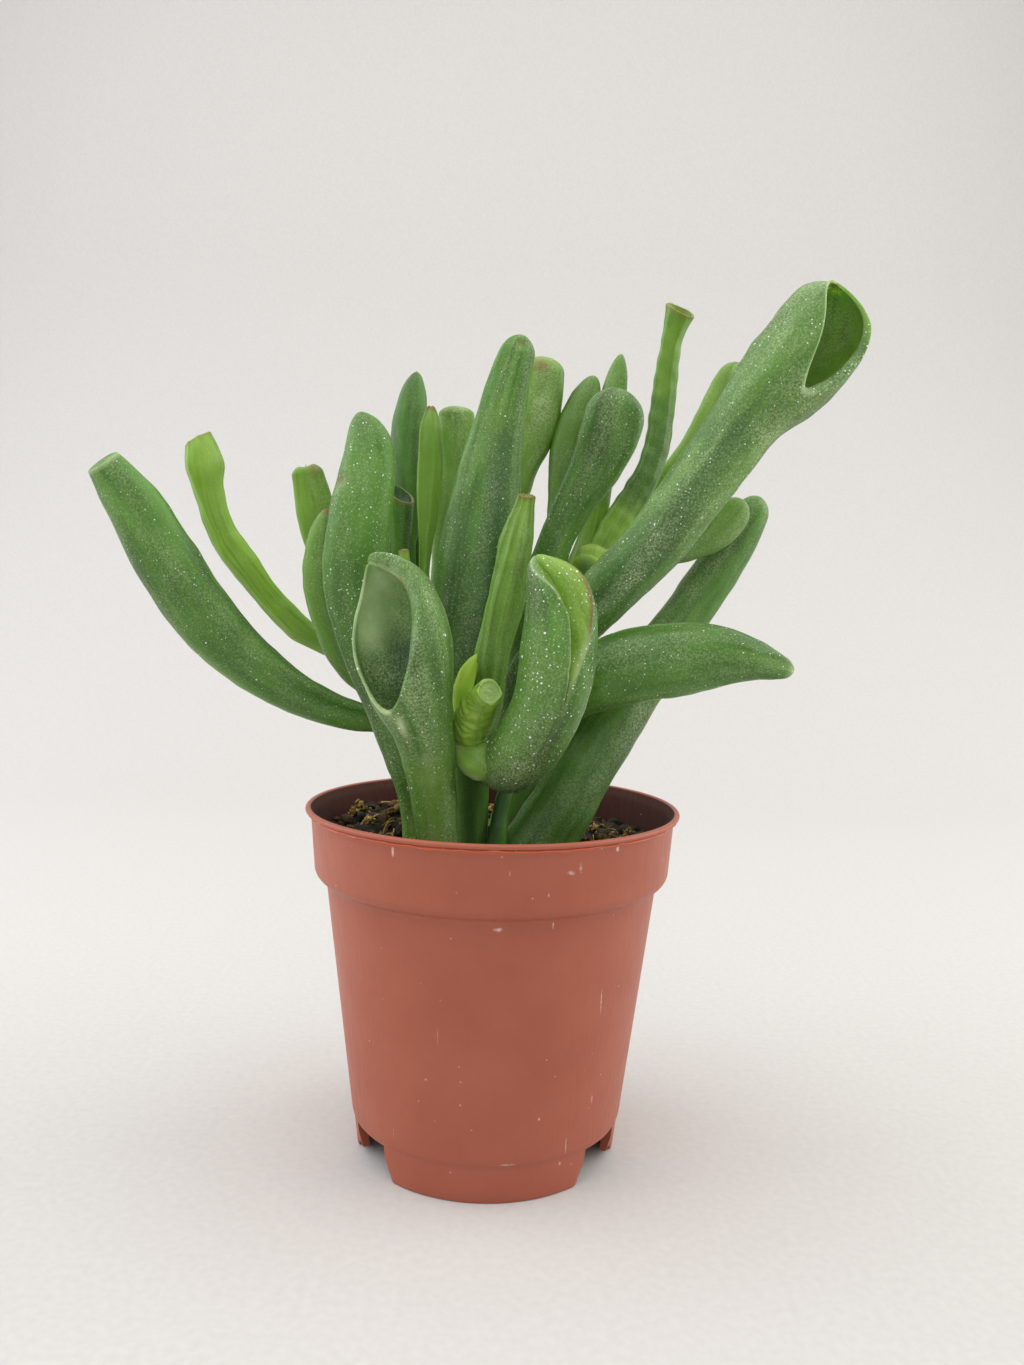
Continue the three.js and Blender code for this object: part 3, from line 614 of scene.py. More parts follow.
def ring_faces(count, sides, start=0):
    """The faces of rings of points from number start on, closed by a fan at each end."""
    faces = []
    for i in range(count - 1):
        row = start + i * sides
        for j in range(sides):
            k = (j + 1) % sides
            faces.append((row + j, row + sides + j, row + sides + k, row + k))
    last = start + (count - 1) * sides
    base_middle = last + sides
    tip_middle = base_middle + 1
    for j in range(sides):
        k = (j + 1) % sides
        faces.append((base_middle, start + j, start + k))
        faces.append((last + j, tip_middle, last + k))
    return faces


def link_mesh(name, vertices, faces, finish, slot, *nodes):
    mesh = bpy.data.meshes.new(name)
    mesh.from_pydata(place(vertices).tolist(), [], faces)
    mesh.update()
    mesh.shade_smooth()
    mesh.materials.append(finish)
    piece = link_object(name, mesh)
    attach(piece, "root")
    if nodes:
        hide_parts(*nodes)
    return piece


def store(piece, name, values):
    kind, field = ("FLOAT_VECTOR", "vector") if np.ndim(values) == 2 else ("FLOAT", "value")
    attribute = piece.data.attributes.new(name, kind, "POINT")
    attribute.data.foreach_set(field, np.asarray(values, np.float32).ravel())


def uneven_points(tube, skin, seed, ripple, wrinkles, furrows, dents):
    """The skin's points with low swellings and fine ripples, cross rings where a leaf has wrinkled,
    lengthwise furrows, and dents."""
    points = skin.points
    around = np.roll(points, -1, axis=1) - np.roll(points, 1, axis=1)
    normals = unit(np.cross(around, np.gradient(points, axis=0)))
    along = skin.s * tube.length
    offset = ripple * lumps(points, SWELLING, seed) + 0.35 * ripple * lumps(points, RIPPLE, seed + 1)
    if wrinkles:
        wander = 0.9 * lumps(points, 2.2, seed + 2)
        offset += wrinkles * np.sin(2 * math.pi * (along + wander) / WRINKLE)
        offset += 0.8 * wrinkles * lumps(points, WRINKLE, seed + 3)
    if furrows:
        depth, count = furrows
        drift = 1.3 * lumps(points * np.array([1, 1, 0.35]), 3.0, seed + 4)
        offset -= depth * (0.5 + 0.5 * np.cos(count * skin.angle + drift)) ** 3
    # the base and the mouth's inside stay even
    fade = smooth(along / BASE_FADE) * np.clip(1 - skin.inside, 0, 1)
    points = points + (offset * fade)[..., None] * normals
    for centre, radius, push in dents:
        share = np.exp(-(np.linalg.norm(points - np.array(centre, float), axis=-1) / radius) ** 2)
        points = points + share[..., None] * np.array(push, float)
    return points


def leaf_marks(tube, skin, young=0.0, speck=0.7, bloom=0.6, base_young=0.0, tip_colour=None,
               lip_colours=(), inside_colour=None, marks=()):
    """How much of each kind of mark every point carries: all over, near the base, the tip or the lip,
    inside the mouth, in the fold, and along the paths of marks."""
    s = skin.s
    values = {kind: np.zeros(s.shape) for kind in MARK_KINDS}
    values["young"] += young
    values["speck"] += speck * (skin.inside < 0.5)
    values["bloom"] += bloom

    def raise_to(kind, level):
        values[kind] = np.maximum(values[kind], level)

    if base_young:
        raise_to("young", base_young * (1 - smooth(s * tube.length / YOUNG_BASE)))
    if tip_colour:
        kind, reach, level = tip_colour
        raise_to(kind, level * (1 - smooth((1 - s) * tube.length / reach)))
    for kind, edge, first, final, width, level in lip_colours:
        off = skin.outer if edge == "outer" else skin.inner
        window = smooth((skin.away - first) / LIP_FADE + 1) * smooth((final - skin.away) / LIP_FADE + 1)
        raise_to(kind, level * window * np.exp(-(off / width) ** 2))
    if inside_colour:
        kind, level = inside_colour
        raise_to(kind, level * smooth((skin.inside - 0.6) * 2))
    if tube.fold:
        # young inside, a pale near edge, a far rim that is red above and pale below, and salt beyond it
        share, wide = tube.fold_share(s, skin.angle)
        open_here = np.clip(wide / 12, 0, 1)
        mm = np.radians(wide) * tube.half_width(s)
        high_rim = smooth((s - 0.62) / 0.1)
        raise_to("young", 0.75 * smooth(share * 6) * smooth((1.05 - share) * 12) * open_here)
        raise_to("pale", 0.6 * np.exp(-((share + 0.01) * mm / FOLD_EDGE) ** 2) * open_here)
        raise_to("red", 0.8 * np.exp(-((share - 1) * mm / FOLD_EDGE) ** 2) * open_here * high_rim)
        raise_to("pale", 0.6 * np.exp(-((share - 1) * mm / FOLD_RIM) ** 2) * open_here * (1 - high_rim))
        raise_to("speck", 1.6 * smooth((share - 0.98) * 12) * smooth((2.2 - share) * 3) * open_here)
    for kind, path, width, level in marks:
        raise_to(kind, level * np.exp(-(distance_to_path(skin.points, path) / width) ** 2))
    return values


def grow_leaf(node, line, half, thick, face=FRONT, tip=0.0, mouth=None, fold=None, blunt=2.0, sides=56,
              rings=64, ripple=0.1, wrinkles=0.0, furrows=None, dents=(), slot="old_leaf_skin",
              finish=None, **colours):
    """Builds the fine form of one leaf and stores where its colours lie."""
    tube = Tube(line, half, thick, face, tip, mouth, fold, blunt)
    skin = tube.skin(sides, rings)
    seed = sum(ord(c) for c in node)
    skin.points = uneven_points(tube, skin, seed, ripple, wrinkles, furrows, dents)
    if finish is None:
        finish = YOUNG_LEAF if slot == "young_leaf_skin" else MATURE_LEAF
    vertices = with_poles(skin.points, skin.points[0].mean(axis=0), skin.pole)
    piece = link_mesh(node + "_grown", vertices, ring_faces(len(skin.s), sides), finish, slot, node)

    # the grain runs along the leaf: round it by a mean radius, which narrows inside the mouth, and
    # along it by the length, set off by chance so that no two leaves have the same clouds
    radius = float(np.mean(tube.half)) * np.clip(2 - skin.inside, 0, 1)
    across, out = radius * np.cos(skin.angle), radius * np.sin(skin.angle)
    grain = np.stack([across, out, skin.s * tube.length], axis=-1) + seed % 17 * 5.0
    store(piece, "grain", with_poles(grain, grain[0].mean(axis=0), grain[-1].mean(axis=0)))
    for kind, value in leaf_marks(tube, skin, **colours).items():
        store(piece, kind, with_poles(value, value[0].mean(), value[-1].mean()))


# degrees away from the lowest point of a mouth's lip
ALL_ROUND = (-180, 180)

# What each stem and leaf is given: its line from base to tip with half its width along it, then the
# rest of its form, as Tube and uneven_points take it, and its colours, as leaf_marks takes them. A dent
# is its middle, how wide it is and which way it is pushed. A lip's colour is a kind of mark, the edge
# that it lies on, the degrees from and to which it reaches, how wide it is in mm and how strong. A mark
# elsewhere is a kind, the path that it follows, how wide it is in mm and how strong.
STEMS = [
    dict(node="front_stem", line=[(-3, -5, 42), (-3.1, -6, 50.5), (-3.2, -8, 57), (-3.1, -10, 61.5)],
         half=[2.3, 2.4, 2.6, 2.8], thick=1, tip=2.4, young=0.05, speck=0.1,
         marks=[("shade", [(-3, -8, 43), (-3, -10, 57)], 3.0, 0.7)]),
    dict(node="right_stem", line=[(2, 3, 42), (5.4, 3, 55.5), (9.5, 4, 68), (13, 5, 80), (15, 7, 90)],
         half=[4.3, 3.3, 2.6, 2.6, 3.0], thick=1, tip=2.2, young=0.1, speck=0.1,
         marks=[("young", [(13.5, 4, 82), (14.5, 4.5, 88), (15, 7, 90.5)], 4.0, 1.0)]),
    dict(node="left_stem", line=[(-10, 1, 42), (-11, 3, 55.5), (-14, 4, 67.5), (-15, 5, 79.5)],
         half=[3, 2.7, 2.4, 2.1], thick=1, tip=2, young=0.1, speck=0.1),
]

LEAVES = [
    dict(node="near_trumpet_leaf",
         **evened([(-7.2, -10.3, 42.5, 2.6), (-7.9, -12, 52, 2.95), (-8.5, -14, 57.6, 3.45),
                   (-9.3, -16.5, 62.5, 3.85), (-9.9, -18, 66, 4.6), (-11.2, -19.3, 70.5, 5.9),
                   (-12.4, -20, 75.8, 6.6), (-14, -20, 81, 6.1), (-16.9, -20, 86, 5)], 9),
         thick=0.85, face=(0.3, -1, 0), tip=7,
         mouth=dict(slant=18.5, depth=2.5, opens=(-0.75, -0.65, 0), spread=(150, 125),
                    wall=[(-180, 1.8), (-120, 2.8), (-60, 2.6), (-10, 0.9), (20, 0.5), (130, 0.5)]),
         sides=128, rings=110, speck=1.0, bloom=0.9,
         lip_colours=[("pale", "outer", 0, 170, 0.3, 0.8), ("pale", "inner", -150, -20, 0.35, 0.5),
                      ("red", "inner", -100, -84, 0.4, 0.8), ("brown", "outer", 165, 180, 1.2, 0.4)],
         inside_colour=("bloom", 0.3),
         marks=[("pale", [(-11.6, -21, 62.5), (-12.2, -22, 66)], 0.5, 0.9),
                # painted shade in the lower right of the mouth's inside, and painted light in its upper
                # left
                ("shade", [(-13.6, -16.5, 66), (-12.6, -16, 74)], 2.6, 1.0),
                ("pale", [(-17.5, -16.5, 76), (-16, -16.5, 84)], 2.5, 0.9),
                # the stalk is painted lighter where other leaves shade it: the young and pale marks are
                # painted light, and the bloom is partly its wax and partly painted light
                ("young", [(-7.6, -14, 47), (-8.6, -17, 58)], 2.5, 0.4),
                ("pale", [(-7.6, -14, 47), (-9, -19, 60)], 1.2, 0.3),
                ("brown", [(-11.7, -22, 74)], 0.5, 0.7),
                ("bloom", [(-8, -17, 58), (-9, -21, 66), (-8, -23, 72)], 3.0, 1.0)]),
    dict(node="front_folded_leaf",
         line=[(-1.5, -10, 58), (2.5, -15, 59.5), (6.5, -19, 67), (8, -21, 75), (7.7, -21, 81.5),
               (4.7, -20, 87)],
         half=[2.2, 4.2, 4.8, 4.9, 4.4, 3.4], thick=0.8, face=(0, -1, 0), tip=8,
         fold=dict(depth=0.8,
                   lips=[(0.42, 22, 23), (0.51, 18, 23), (0.61, 15, 38), (0.74, 10, 58), (0.86, -6, 80),
                         (0.94, -26, 105), (1.0, -50, 120)]),
         sides=200, rings=110, speck=1.2, bloom=0.4,
         marks=[("bloom", [(0, -14, 58), (4, -19, 60)], 4.0, 0.9),
                ("brown", [(9.5, -20, 85), (11, -20, 81.5)], 1.5, 0.35)]),
    dict(node="swollen_base",
         line=[(-5.7, -12, 61.2), (-3.9, -13, 60.5), (-2.0, -13.6, 59.2), (-0.5, -13.6, 57)],
         half=[1.3, 2.3, 2.6, 1.5], thick=0.8, tip=1.2, sides=48, rings=40, ripple=0.2, young=0.15,
         speck=0.3, bloom=1.0,
         # the pale streak and spot along its front are painted highlights
         marks=[("pale", [(-5.6, -13.5, 59.6), (-3.8, -14.2, 57.8), (-1.4, -15, 56.1)], 0.7, 1.0),
                ("pale", [(-5.5, -14, 61)], 1.2, 0.7)],
         slot="young_leaf_skin"),
    dict(node="wrinkled_stub",
         line=[(-3.6, -11.5, 61.8), (-3.0, -14.6, 65.2), (-1.8, -17.6, 68.0), (-0.8, -20.3, 69.4)],
         half=[2.4, 2.5, 1.9, 1.6], thick=1,
         mouth=dict(slant=0.15, depth=0.0, wall=0.3, opens=(0, -1, 0.3), dished=True), sides=72, rings=70,
         wrinkles=0.1, young=0.5, speck=0.0, bloom=0.25,
         lip_colours=[("pale", "outer", *ALL_ROUND, 0.3, 0.35)], inside_colour=("bloom", 1.0),
         marks=[("shade", [(-0.6, -20.5, 69.4)], 0.7, 0.4)], slot="young_leaf_skin"),
    dict(node="thin_bright_leaf",
         line=[(-2.5, -10, 61.5), (-1, -9, 66.5), (-0.7, -10, 73.5), (1.3, -11, 82.5), (2.4, -12, 89.5),
               (3.5, -12, 95.5)],
         half=[1.3, 1.8, 2.2, 2.3, 1.9, 1.0], thick=0.7,
         mouth=dict(slant=0.6, depth=0.15, wall=0.4, opens=(0, -0.3, 1), dished=True), sides=96, rings=90,
         ripple=0.14, furrows=(0.3, 9), young=0.3, speck=0.5, bloom=0.4,
         lip_colours=[("red", "outer", *ALL_ROUND, 0.4, 0.8)], inside_colour=("red", 0.6),
         marks=[("young", [(2.2, -13, 87), (3.2, -13, 94)], 2.0, 0.6)], slot="young_leaf_skin",
         finish=MATURE_LEAF),
    dict(node="small_yellow_leaf",
         line=[(-4, -10.6, 62), (-4.7, -10.8, 67), (-4.0, -10.8, 70.5), (-2.4, -10.6, 74)],
         half=[0.6, 1.3, 1.4, 0.7], thick=0.6, tip=2, sides=32, rings=28, young=1.0, speck=0.1, bloom=0.1,
         slot="young_leaf_skin"),
    dict(node="side_leaf",
         line=[(8, 1, 64), (11, -7, 68.5), (17, -9, 72), (27, -10, 74), (35, -10, 74), (41.5, -9, 72.5)],
         half=[2.4, 3.7, 5, 4.9, 3.1, 1], thick=0.6, face=(0, -1, 0.2), tip=1.6, sides=72, rings=90,
         furrows=(0.1, 6), speck=0.8, tip_colour=("pale", 2.5, 0.5),
         marks=[("shade", [(30.4, -13, 70.6)], 0.5, 0.7)]),
    dict(node="right_trumpet_leaf",
         **evened([(1.5, -1, 56, 2.4), (3, -1.5, 65, 2.9), (5.6, -2.6, 71.5, 3.3), (12, -4.8, 79, 3.7),
                   (19, -6.6, 86.9, 4.2), (23.7, -7, 92.4, 4.3), (29.2, -8, 100.4, 4.65),
                   (33.7, -8.7, 107, 4.9), (37.4, -9.4, 111.3, 6.1), (41.2, -10, 115.8, 7.1),
                   (43.6, -10, 119.9, 6.8), (44.9, -10, 125, 6.6)], 13,
                  end=[(38.7, -9.6, 112.8, 6.4), (42.6, -10, 118.3, 6.6), (44.8, -10, 124.9, 6.2)]),
         thick=0.85, face=(-0.3, -1, 0), tip=7, blunt=2.3,
         mouth=dict(slant=15, depth=4, opens=(0.5, -0.87, 0), spread=(98, 60), short=0.01,
                    wall=[(-180, 0.5), (-70, 0.9), (-20, 1.7), (5, 1.0), (40, 0.5), (150, 0.5)]),
         sides=128, rings=120, furrows=(0.1, 7), speck=0.9, bloom=0.9,
         lip_colours=[("young", "outer", -180, -60, 0.9, 0.8), ("pale", "outer", -10, 90, 0.25, 0.7),
                      ("speck", "outer", -60, 10, 1.6, 1.8), ("young", "inner", 0, 90, 0.6, 0.5)],
         inside_colour=("young", 0.55),
         marks=[("brown", [(38.8, -14, 113.4)], 0.35, 0.6),
                ("shade", [(5, -6, 70), (19, -10, 87), (32, -13, 105)], 2.3, 0.6),
                ("bloom", [(36.8, -14, 112.6), (35.8, -14, 111)], 0.5, 1.0)]),
    dict(node="centre_large_leaf",
         line=[(-3.5, -9, 61), (-4.6, -7, 68.5), (-3.6, -6, 79.5), (-2.4, -5, 93), (-0.5, -4, 106.5),
               (2.5, -4, 118.5)],
         half=[2.2, 4.6, 6.0, 5.2, 3.5, 2.3], thick=0.6, tip=2.6, sides=96, rings=110, furrows=(0.12, 7),
         dents=[((2.3, -5.2, 117.1), 0.8, (0, 0.4, -0.1))], speck=0.7, bloom=0.5,
         marks=[("young", [(0.7, -8, 112.3), (0.4, -8, 109.3)], 0.6, 0.9),
                ("young", [(-0.5, -7, 109), (-2.5, -8, 100)], 1.5, 0.25),
                ("bloom", [(2.3, -5.2, 117.1)], 0.8, 1.0), ("brown", [(2.3, -5.0, 117.1)], 0.6, 0.5),
                ("pale", [(-3.6, -6, 108.5), (-5.7, -7, 100), (-7.4, -8, 92), (-8.8, -8, 82)], 0.4, 0.45),
                ("shade", [(0.3, -8, 103), (-0.3, -9, 95), (-1, -10, 82), (-3, -10, 74)], 2.8, 0.85),
                ("bloom", [(1.2, -8, 99), (-0.2, -10, 84)], 0.6, 1.0),
                ("bloom", [(-1.8, -8, 96), (-2.6, -10, 80)], 0.4, 1.0)]),
    dict(node="tall_left_leaf",
         line=[(-11.5, -4, 43.5), (-12.5, -4, 53.5), (-16, -5, 66.5), (-20, -6, 81), (-19.5, -7, 92),
               (-18.5, -6, 101), (-20, -5.5, 107)],
         half=[1.4, 1.7, 3.1, 4.4, 4.5, 3.5, 2.3], thick=0.6, tip=9, sides=64, rings=96,
         dents=[((-22.6, -8, 97.4), 0.9, (0.6, 0, 0))], speck=1.0, bloom=0.5, base_young=0.5,
         marks=[("red", [(-22.4, -8, 97.4)], 0.8, 0.7)]),
    dict(node="long_right_leaf",
         line=[(4.5, -5, 42.5), (14, -3, 58.5), (21.5, 1, 70), (29.5, 5, 81), (35.5, 7, 90), (40, 8, 98)],
         half=[5.2, 4.5, 4.3, 3.6, 3.4, 2.2], thick=0.6, tip=4, sides=64, rings=96, speck=0.3),
    dict(node="far_left_leaf",
         **evened([(-13.5, 3, 62.5, 1.7), (-20, 1.5, 63.4, 2.2), (-27, 0, 65.5, 2.8),
                   (-34, -0.6, 69.7, 3.7), (-40.5, -1, 75.2, 4.4), (-46.2, -1.5, 82.8, 4.65),
                   (-49.4, -2, 88.3, 4.45), (-53.2, -2.5, 94.8, 3.8), (-57.1, -3, 100, 2.4)], 8),
         thick=0.75, mouth=dict(slant=1.5, depth=0.0, wall=0.3, opens=(0.2, -1, 0), dished=True), sides=72,
         rings=96, speck=0.7, bloom=0.45, lip_colours=[("pale", "outer", *ALL_ROUND, 0.3, 0.5)],
         inside_colour=("bloom", 0.8)),
    dict(node="left_dot_tip_leaf",
         line=[(-14.5, 4, 65), (-21.5, 3, 70), (-25, 3, 77.5), (-26.5, 2, 85), (-25.5, 1, 94)],
         half=[1.4, 2, 2.8, 2.5, 1.5], thick=0.8, tip=4.5, young=0.2, speck=0.5, bloom=0.4,
         tip_colour=("red", 1.2, 0.8)),
    dict(node="left_bright_leaf",
         **evened([(-15.5, 5, 70.5, 1.4), (-23.5, 8, 72.5, 1.5), (-31.5, 8, 77, 1.9),
                   (-39.5, 7, 86.5, 2.1), (-43.3, 6, 93.3, 2.25), (-44, 5.5, 97.2, 2.15),
                   (-44.4, 5, 99.4, 2.7), (-44.7, 5, 101.5, 2.65), (-45.4, 5, 104.6, 1.9)], 13),
         thick=0.7, mouth=dict(slant=1.1, depth=0.1, wall=0.3, opens=(-1, 0, 0), dished=True), sides=72,
         rings=110, ripple=0.16, furrows=(0.15, 6), young=0.8, speck=0.4, bloom=0.35,
         lip_colours=[("brown", "outer", *ALL_ROUND, 0.35, 0.6)], slot="young_leaf_skin",
         finish=MATURE_LEAF),
    dict(node="back_left_small_leaf",
         line=[(-15.5, 6, 73.5), (-23, 8.5, 77.5), (-26.5, 8, 86.5), (-28, 7, 93.5), (-29.5, 6, 101)],
         half=[1.1, 1.5, 2.3, 2.9, 2.3], thick=0.55, tip=1.6,
         dents=[((-29.6, 6, 101.2), 0.7, (0, 0, -0.9))], young=0.45, speck=0.3, bloom=0.4,
         marks=[("red", [(-28.2, 5.5, 100.2)], 0.9, 0.6)], slot="young_leaf_skin", finish=MATURE_LEAF),
    dict(node="small_cup_leaf", line=[(-15, 5, 75), (-15, 4, 87.5), (-15, 4, 98)], half=[1.5, 1.8, 2.2],
         thick=0.9, mouth=dict(slant=3.2, depth=0.3, wall=0.45, opens=(0.6, -0.6, 0.4)), speck=0.4,
         bloom=0.3, lip_colours=[("brown", "outer", *ALL_ROUND, 0.35, 0.6)], inside_colour=("shade", 0.8)),
    dict(node="back_dark_leaf",
         line=[(-14.5, 7, 72), (-14, 10, 87), (-14.5, 11, 99.5), (-14.5, 12, 108), (-13.5, 12, 116.5)],
         half=[1.7, 2.2, 2.6, 2.6, 1.7], thick=0.8, tip=6, speck=0.2, bloom=0.3,
         tip_colour=("red", 0.8, 0.5)),
    dict(node="red_tip_leaf",
         line=[(-12.5, 4, 66), (-11.4, 2, 78), (-11.0, 1, 88), (-10.5, 1, 99), (-10.5, 1, 109)],
         half=[0.3, 0.3, 0.85, 1.75, 1.1], thick=0.75, tip=5, sides=64, furrows=(0.25, 5), young=0.45,
         speck=0.3, bloom=0.2, tip_colour=("red", 1.0, 0.9), slot="young_leaf_skin", finish=MATURE_LEAF),
    dict(node="olive_leaf", line=[(-12.5, 5, 72), (-11.5, 5, 82.5), (-12, 5, 91)], half=[0.9, 1.2, 0.9],
         thick=0.6, tip=3, sides=32, rings=40, speck=0.1, bloom=0.2),
    dict(node="back_pale_leaf",
         line=[(-12.5, 6, 67), (-9.5, 14, 82.5), (-8, 18, 99), (-7.5, 19, 107), (-7.5, 19, 112.5)],
         half=[1.2, 1.6, 2.9, 3.1, 2.8], thick=0.5, tip=3, young=0.35, speck=0.2, bloom=1.0),
    dict(node="purple_bud", line=[(-9, -8, 60), (-11, -9, 74), (-12.5, -9, 82.5), (-13.3, -9, 88)],
         half=[0.8, 0.8, 0.9, 0.8], thick=0.9, tip=0.6, sides=32, rings=48, young=0.3, speck=0.1, bloom=0.2,
         tip_colour=("red", 2.0, 0.8), slot="young_leaf_skin"),
    dict(node="node_stub", line=[(13.4, 4, 86.3), (12.6, 0.8, 86.3)], half=[2.2, 2.1], thick=1, tip=0.7,
         sides=64, rings=24, young=0.8, speck=0.0, bloom=0.1,
         marks=[("shade", [(12.6, 0.6, 86.3)], 1.8, 0.8)], slot="young_leaf_skin"),
    dict(node="spatulate_leaf",
         line=[(5.6, 4, 68), (6.3, 2, 79.5), (7.6, 1.5, 88), (10.4, 1, 95), (13.6, 0, 101),
               (15.6, -1, 106), (17, -1, 112)],
         half=[4.4, 4.1, 2.7, 2.9, 3.8, 4.4, 4.2], thick=0.5, tip=5, sides=64, rings=84, speck=0.8,
         bloom=0.5),
    dict(node="tall_thin_leaf",
         **evened([(15.5, 6, 88.5, 2.1), (17.5, 6.5, 92.5, 2.3), (20, 7, 97, 2.2),
                   (22.2, 6.5, 101.2, 1.95), (23.6, 7, 106.5, 1.82), (24.4, 7, 112.8, 1.78),
                   (25.1, 7, 119, 1.7), (25.5, 7, 123.4, 1.5), (26.5, 7, 126.5, 2.15)], 10,
                  end=[(24.8, 7, 117.7, 1.65), (25.6, 7, 122.1, 1.65), (26.6, 6.7, 126.1, 2.4)]),
         thick=0.8, mouth=dict(slant=1.7, depth=1.5, wall=0.4, opens=(0.5, -0.8, 0.3)), sides=64, rings=100,
         ripple=0.22, furrows=(0.12, 5), young=0.15, speck=0.3, bloom=0.35,
         lip_colours=[("brown", "outer", *ALL_ROUND, 0.35, 0.7)], inside_colour=("brown", 0.4),
         marks=[("young", [(26.5, 7, 126), (25, 7, 119), (24.4, 7, 114)], 3.0, 0.65),
                ("shade", [(20, 6, 97), (23.4, 6, 106)], 3.0, 0.35),
                # the pale spot near the base is painted light, on a base that lies in shade
                ("young", [(15.5, 5, 88), (18.5, 5, 93)], 5.0, 1.0), ("pale", [(16, 4, 88)], 2.5, 0.3)],
         slot="young_leaf_skin", finish=MATURE_LEAF),
    dict(node="node_back_leaf",
         line=[(12.8, 7.5, 85.5), (14.4, 8.5, 93), (16, 10, 103.5), (17, 10, 112.5), (18, 10, 119.5)],
         half=[2.8, 1.9, 1.9, 2.1, 1.2], thick=0.7, tip=5, young=0.1, speck=0.2,
         # the pale spot near the base is painted light, on a base that lies in shade
         marks=[("young", [(12.8, 6, 86), (14.8, 7, 94)], 3.5, 1.0), ("pale", [(13.6, 5.5, 89)], 2.5, 0.3)],
         slot="young_leaf_skin", finish=MATURE_LEAF),
    dict(node="back_bright_leaf",
         line=[(16, 8, 88.5), (21.5, 10, 96.5), (28.5, 11, 104), (34, 11, 112.5), (36.5, 11, 119)],
         half=[1.1, 0.9, 1.9, 3.0, 2.1], thick=0.6, tip=3.2, young=0.5, speck=0.2,
         tip_colour=("red", 0.8, 0.6), slot="young_leaf_skin", finish=MATURE_LEAF),
    dict(node="right_stub_leaf",
         line=[(15, 6, 86), (21, 3, 87.5), (28.5, 3, 90), (33, 3, 93), (36.5, 3, 97)],
         half=[1.2, 1.5, 2.1, 2.8, 2.2], thick=0.5, tip=3, young=0.2, speck=0.2, bloom=0.9,
         marks=[("red", [(24, 1, 86.5), (31, 1, 89.5), (35.5, 1, 93)], 0.5, 0.5)]),
    dict(node="back_narrow_leaf",
         line=[(11.5, 6, 74), (9, 8, 86), (9.5, 9, 97), (10.5, 10, 106), (14, 10, 116)],
         half=[1.2, 1.5, 2.3, 2.8, 1.8], thick=0.7, tip=4, young=0.2, speck=0.2),
    dict(node="corky_tip_leaf", line=[(7.5, 5, 66), (0, 9, 83), (2, 10, 100), (5, 10.5, 109), (6, 11, 119)],
         half=[1.2, 1.6, 3.1, 3.7, 3.4], thick=0.6, tip=3.5, young=0.4, speck=0.3, bloom=1.0,
         marks=[("brown", [(5.9, 8.8, 117.4), (5, 8.6, 117.6)], 1.0, 0.9)]),
    dict(node="basal_leaf", line=[(0.5, -8, 43), (1, -7, 50), (2.5, -6, 56.5)], half=[1.3, 1.3, 1.1],
         thick=0.8, tip=2, sides=32, rings=32, speck=0.1, bloom=0.1,
         marks=[("shade", [(-0.5, -9, 44), (1.0, -8, 56)], 1.2, 0.8)]),
]

for stem in STEMS:
    grow_leaf(slot="stem_skin", finish=STEM_SKIN, bloom=0.2, ripple=0.07, **stem)
for leaf in LEAVES:
    grow_leaf(**leaf)


# Soil

# half the soil block's section below its top, as radius and height: it follows the pot's inside
SOIL_BRIM = BAND_LOW_RADIUS - WALL - 0.35
SOIL_SIDE = ((8.0, SOIL_UNDERSIDE), (18.9, SOIL_UNDERSIDE), (23.3, 40.2), (SOIL_BRIM, 43.0))
SOIL_SIDES = 180
SOIL_RINGS = 56
CRUMBS = 850
CRUMB_REACH = 24.9
CRUMB_SPREAD = 24.6
TUFT_CRUMBS = 80
# where lighter, fluffier tufts lie on the soil
TUFTS = [(-19, 3), (-15.5, 8), (-21, -2), (-13, 13), (-18, -7), (-21, 8), (-9, 18), (0, 20), (18, 0),
         (21, 4), (16, 8), (20.5, -5), (13, 13), (17, -9), (9, 17), (-12, -17), (10, -17)]
FIBRES = 120
FIBRE_REACH = 24.4
FIBRE_SPREAD = 22.5
FIBRE_STEPS = 6
FIBRE_SIDES = 6
FIBRE_RINGS = 16


def soil_height(x, y):
    """The level of the soil, with low ridges and a heap at the back left."""
    ridges = np.sin(0.9 * x + 1.3) * np.cos(0.8 * y) + np.sin(1.7 * y - 0.6 * x)
    heap = np.exp(-((x + 15) ** 2 + (y - 9) ** 2) / 110)
    return SOIL_LEVEL + 0.55 * ridges + 2.2 * heap


def lay_soil():
    angle = np.linspace(0, 2 * math.pi, SOIL_SIDES, endpoint=False)
    rows = []
    for radius, z in SOIL_SIDE:
        level = np.full(SOIL_SIDES, z)
        rows.append(np.stack([radius * np.cos(angle), -radius * np.sin(angle), level], axis=-1))
    for share in np.linspace(0, 1, SOIL_RINGS, endpoint=False):
        x, y = SOIL_BRIM * (1 - share) * np.cos(angle), -SOIL_BRIM * (1 - share) * np.sin(angle)
        row = np.stack([x, y, soil_height(x, y)], axis=-1)
        row[:, 2] += 0.45 * lumps(row, 3.0, 5) + 0.25 * lumps(row, 1.2, 6)
        rows.append(row)
    vertices = with_poles(np.array(rows), np.array([0, 0, SOIL_UNDERSIDE]), rows[-1].mean(axis=0))
    faces = ring_faces(len(rows), SOIL_SIDES)
    bed = link_mesh("potting_soil_bed", vertices, faces, SOIL_FINISH, "potting_soil", "soil")
    store(bed, "tone", np.zeros(len(vertices)))


def crumb_form():
    """The points and faces of one round crumb, before it is made uneven."""
    shape = bmesh.new()
    bmesh.ops.create_icosphere(shape, subdivisions=2, radius=1)
    points = np.array([v.co for v in shape.verts])
    faces = np.array([[v.index for v in f.verts] for f in shape.faces])
    shape.free()
    return points, faces


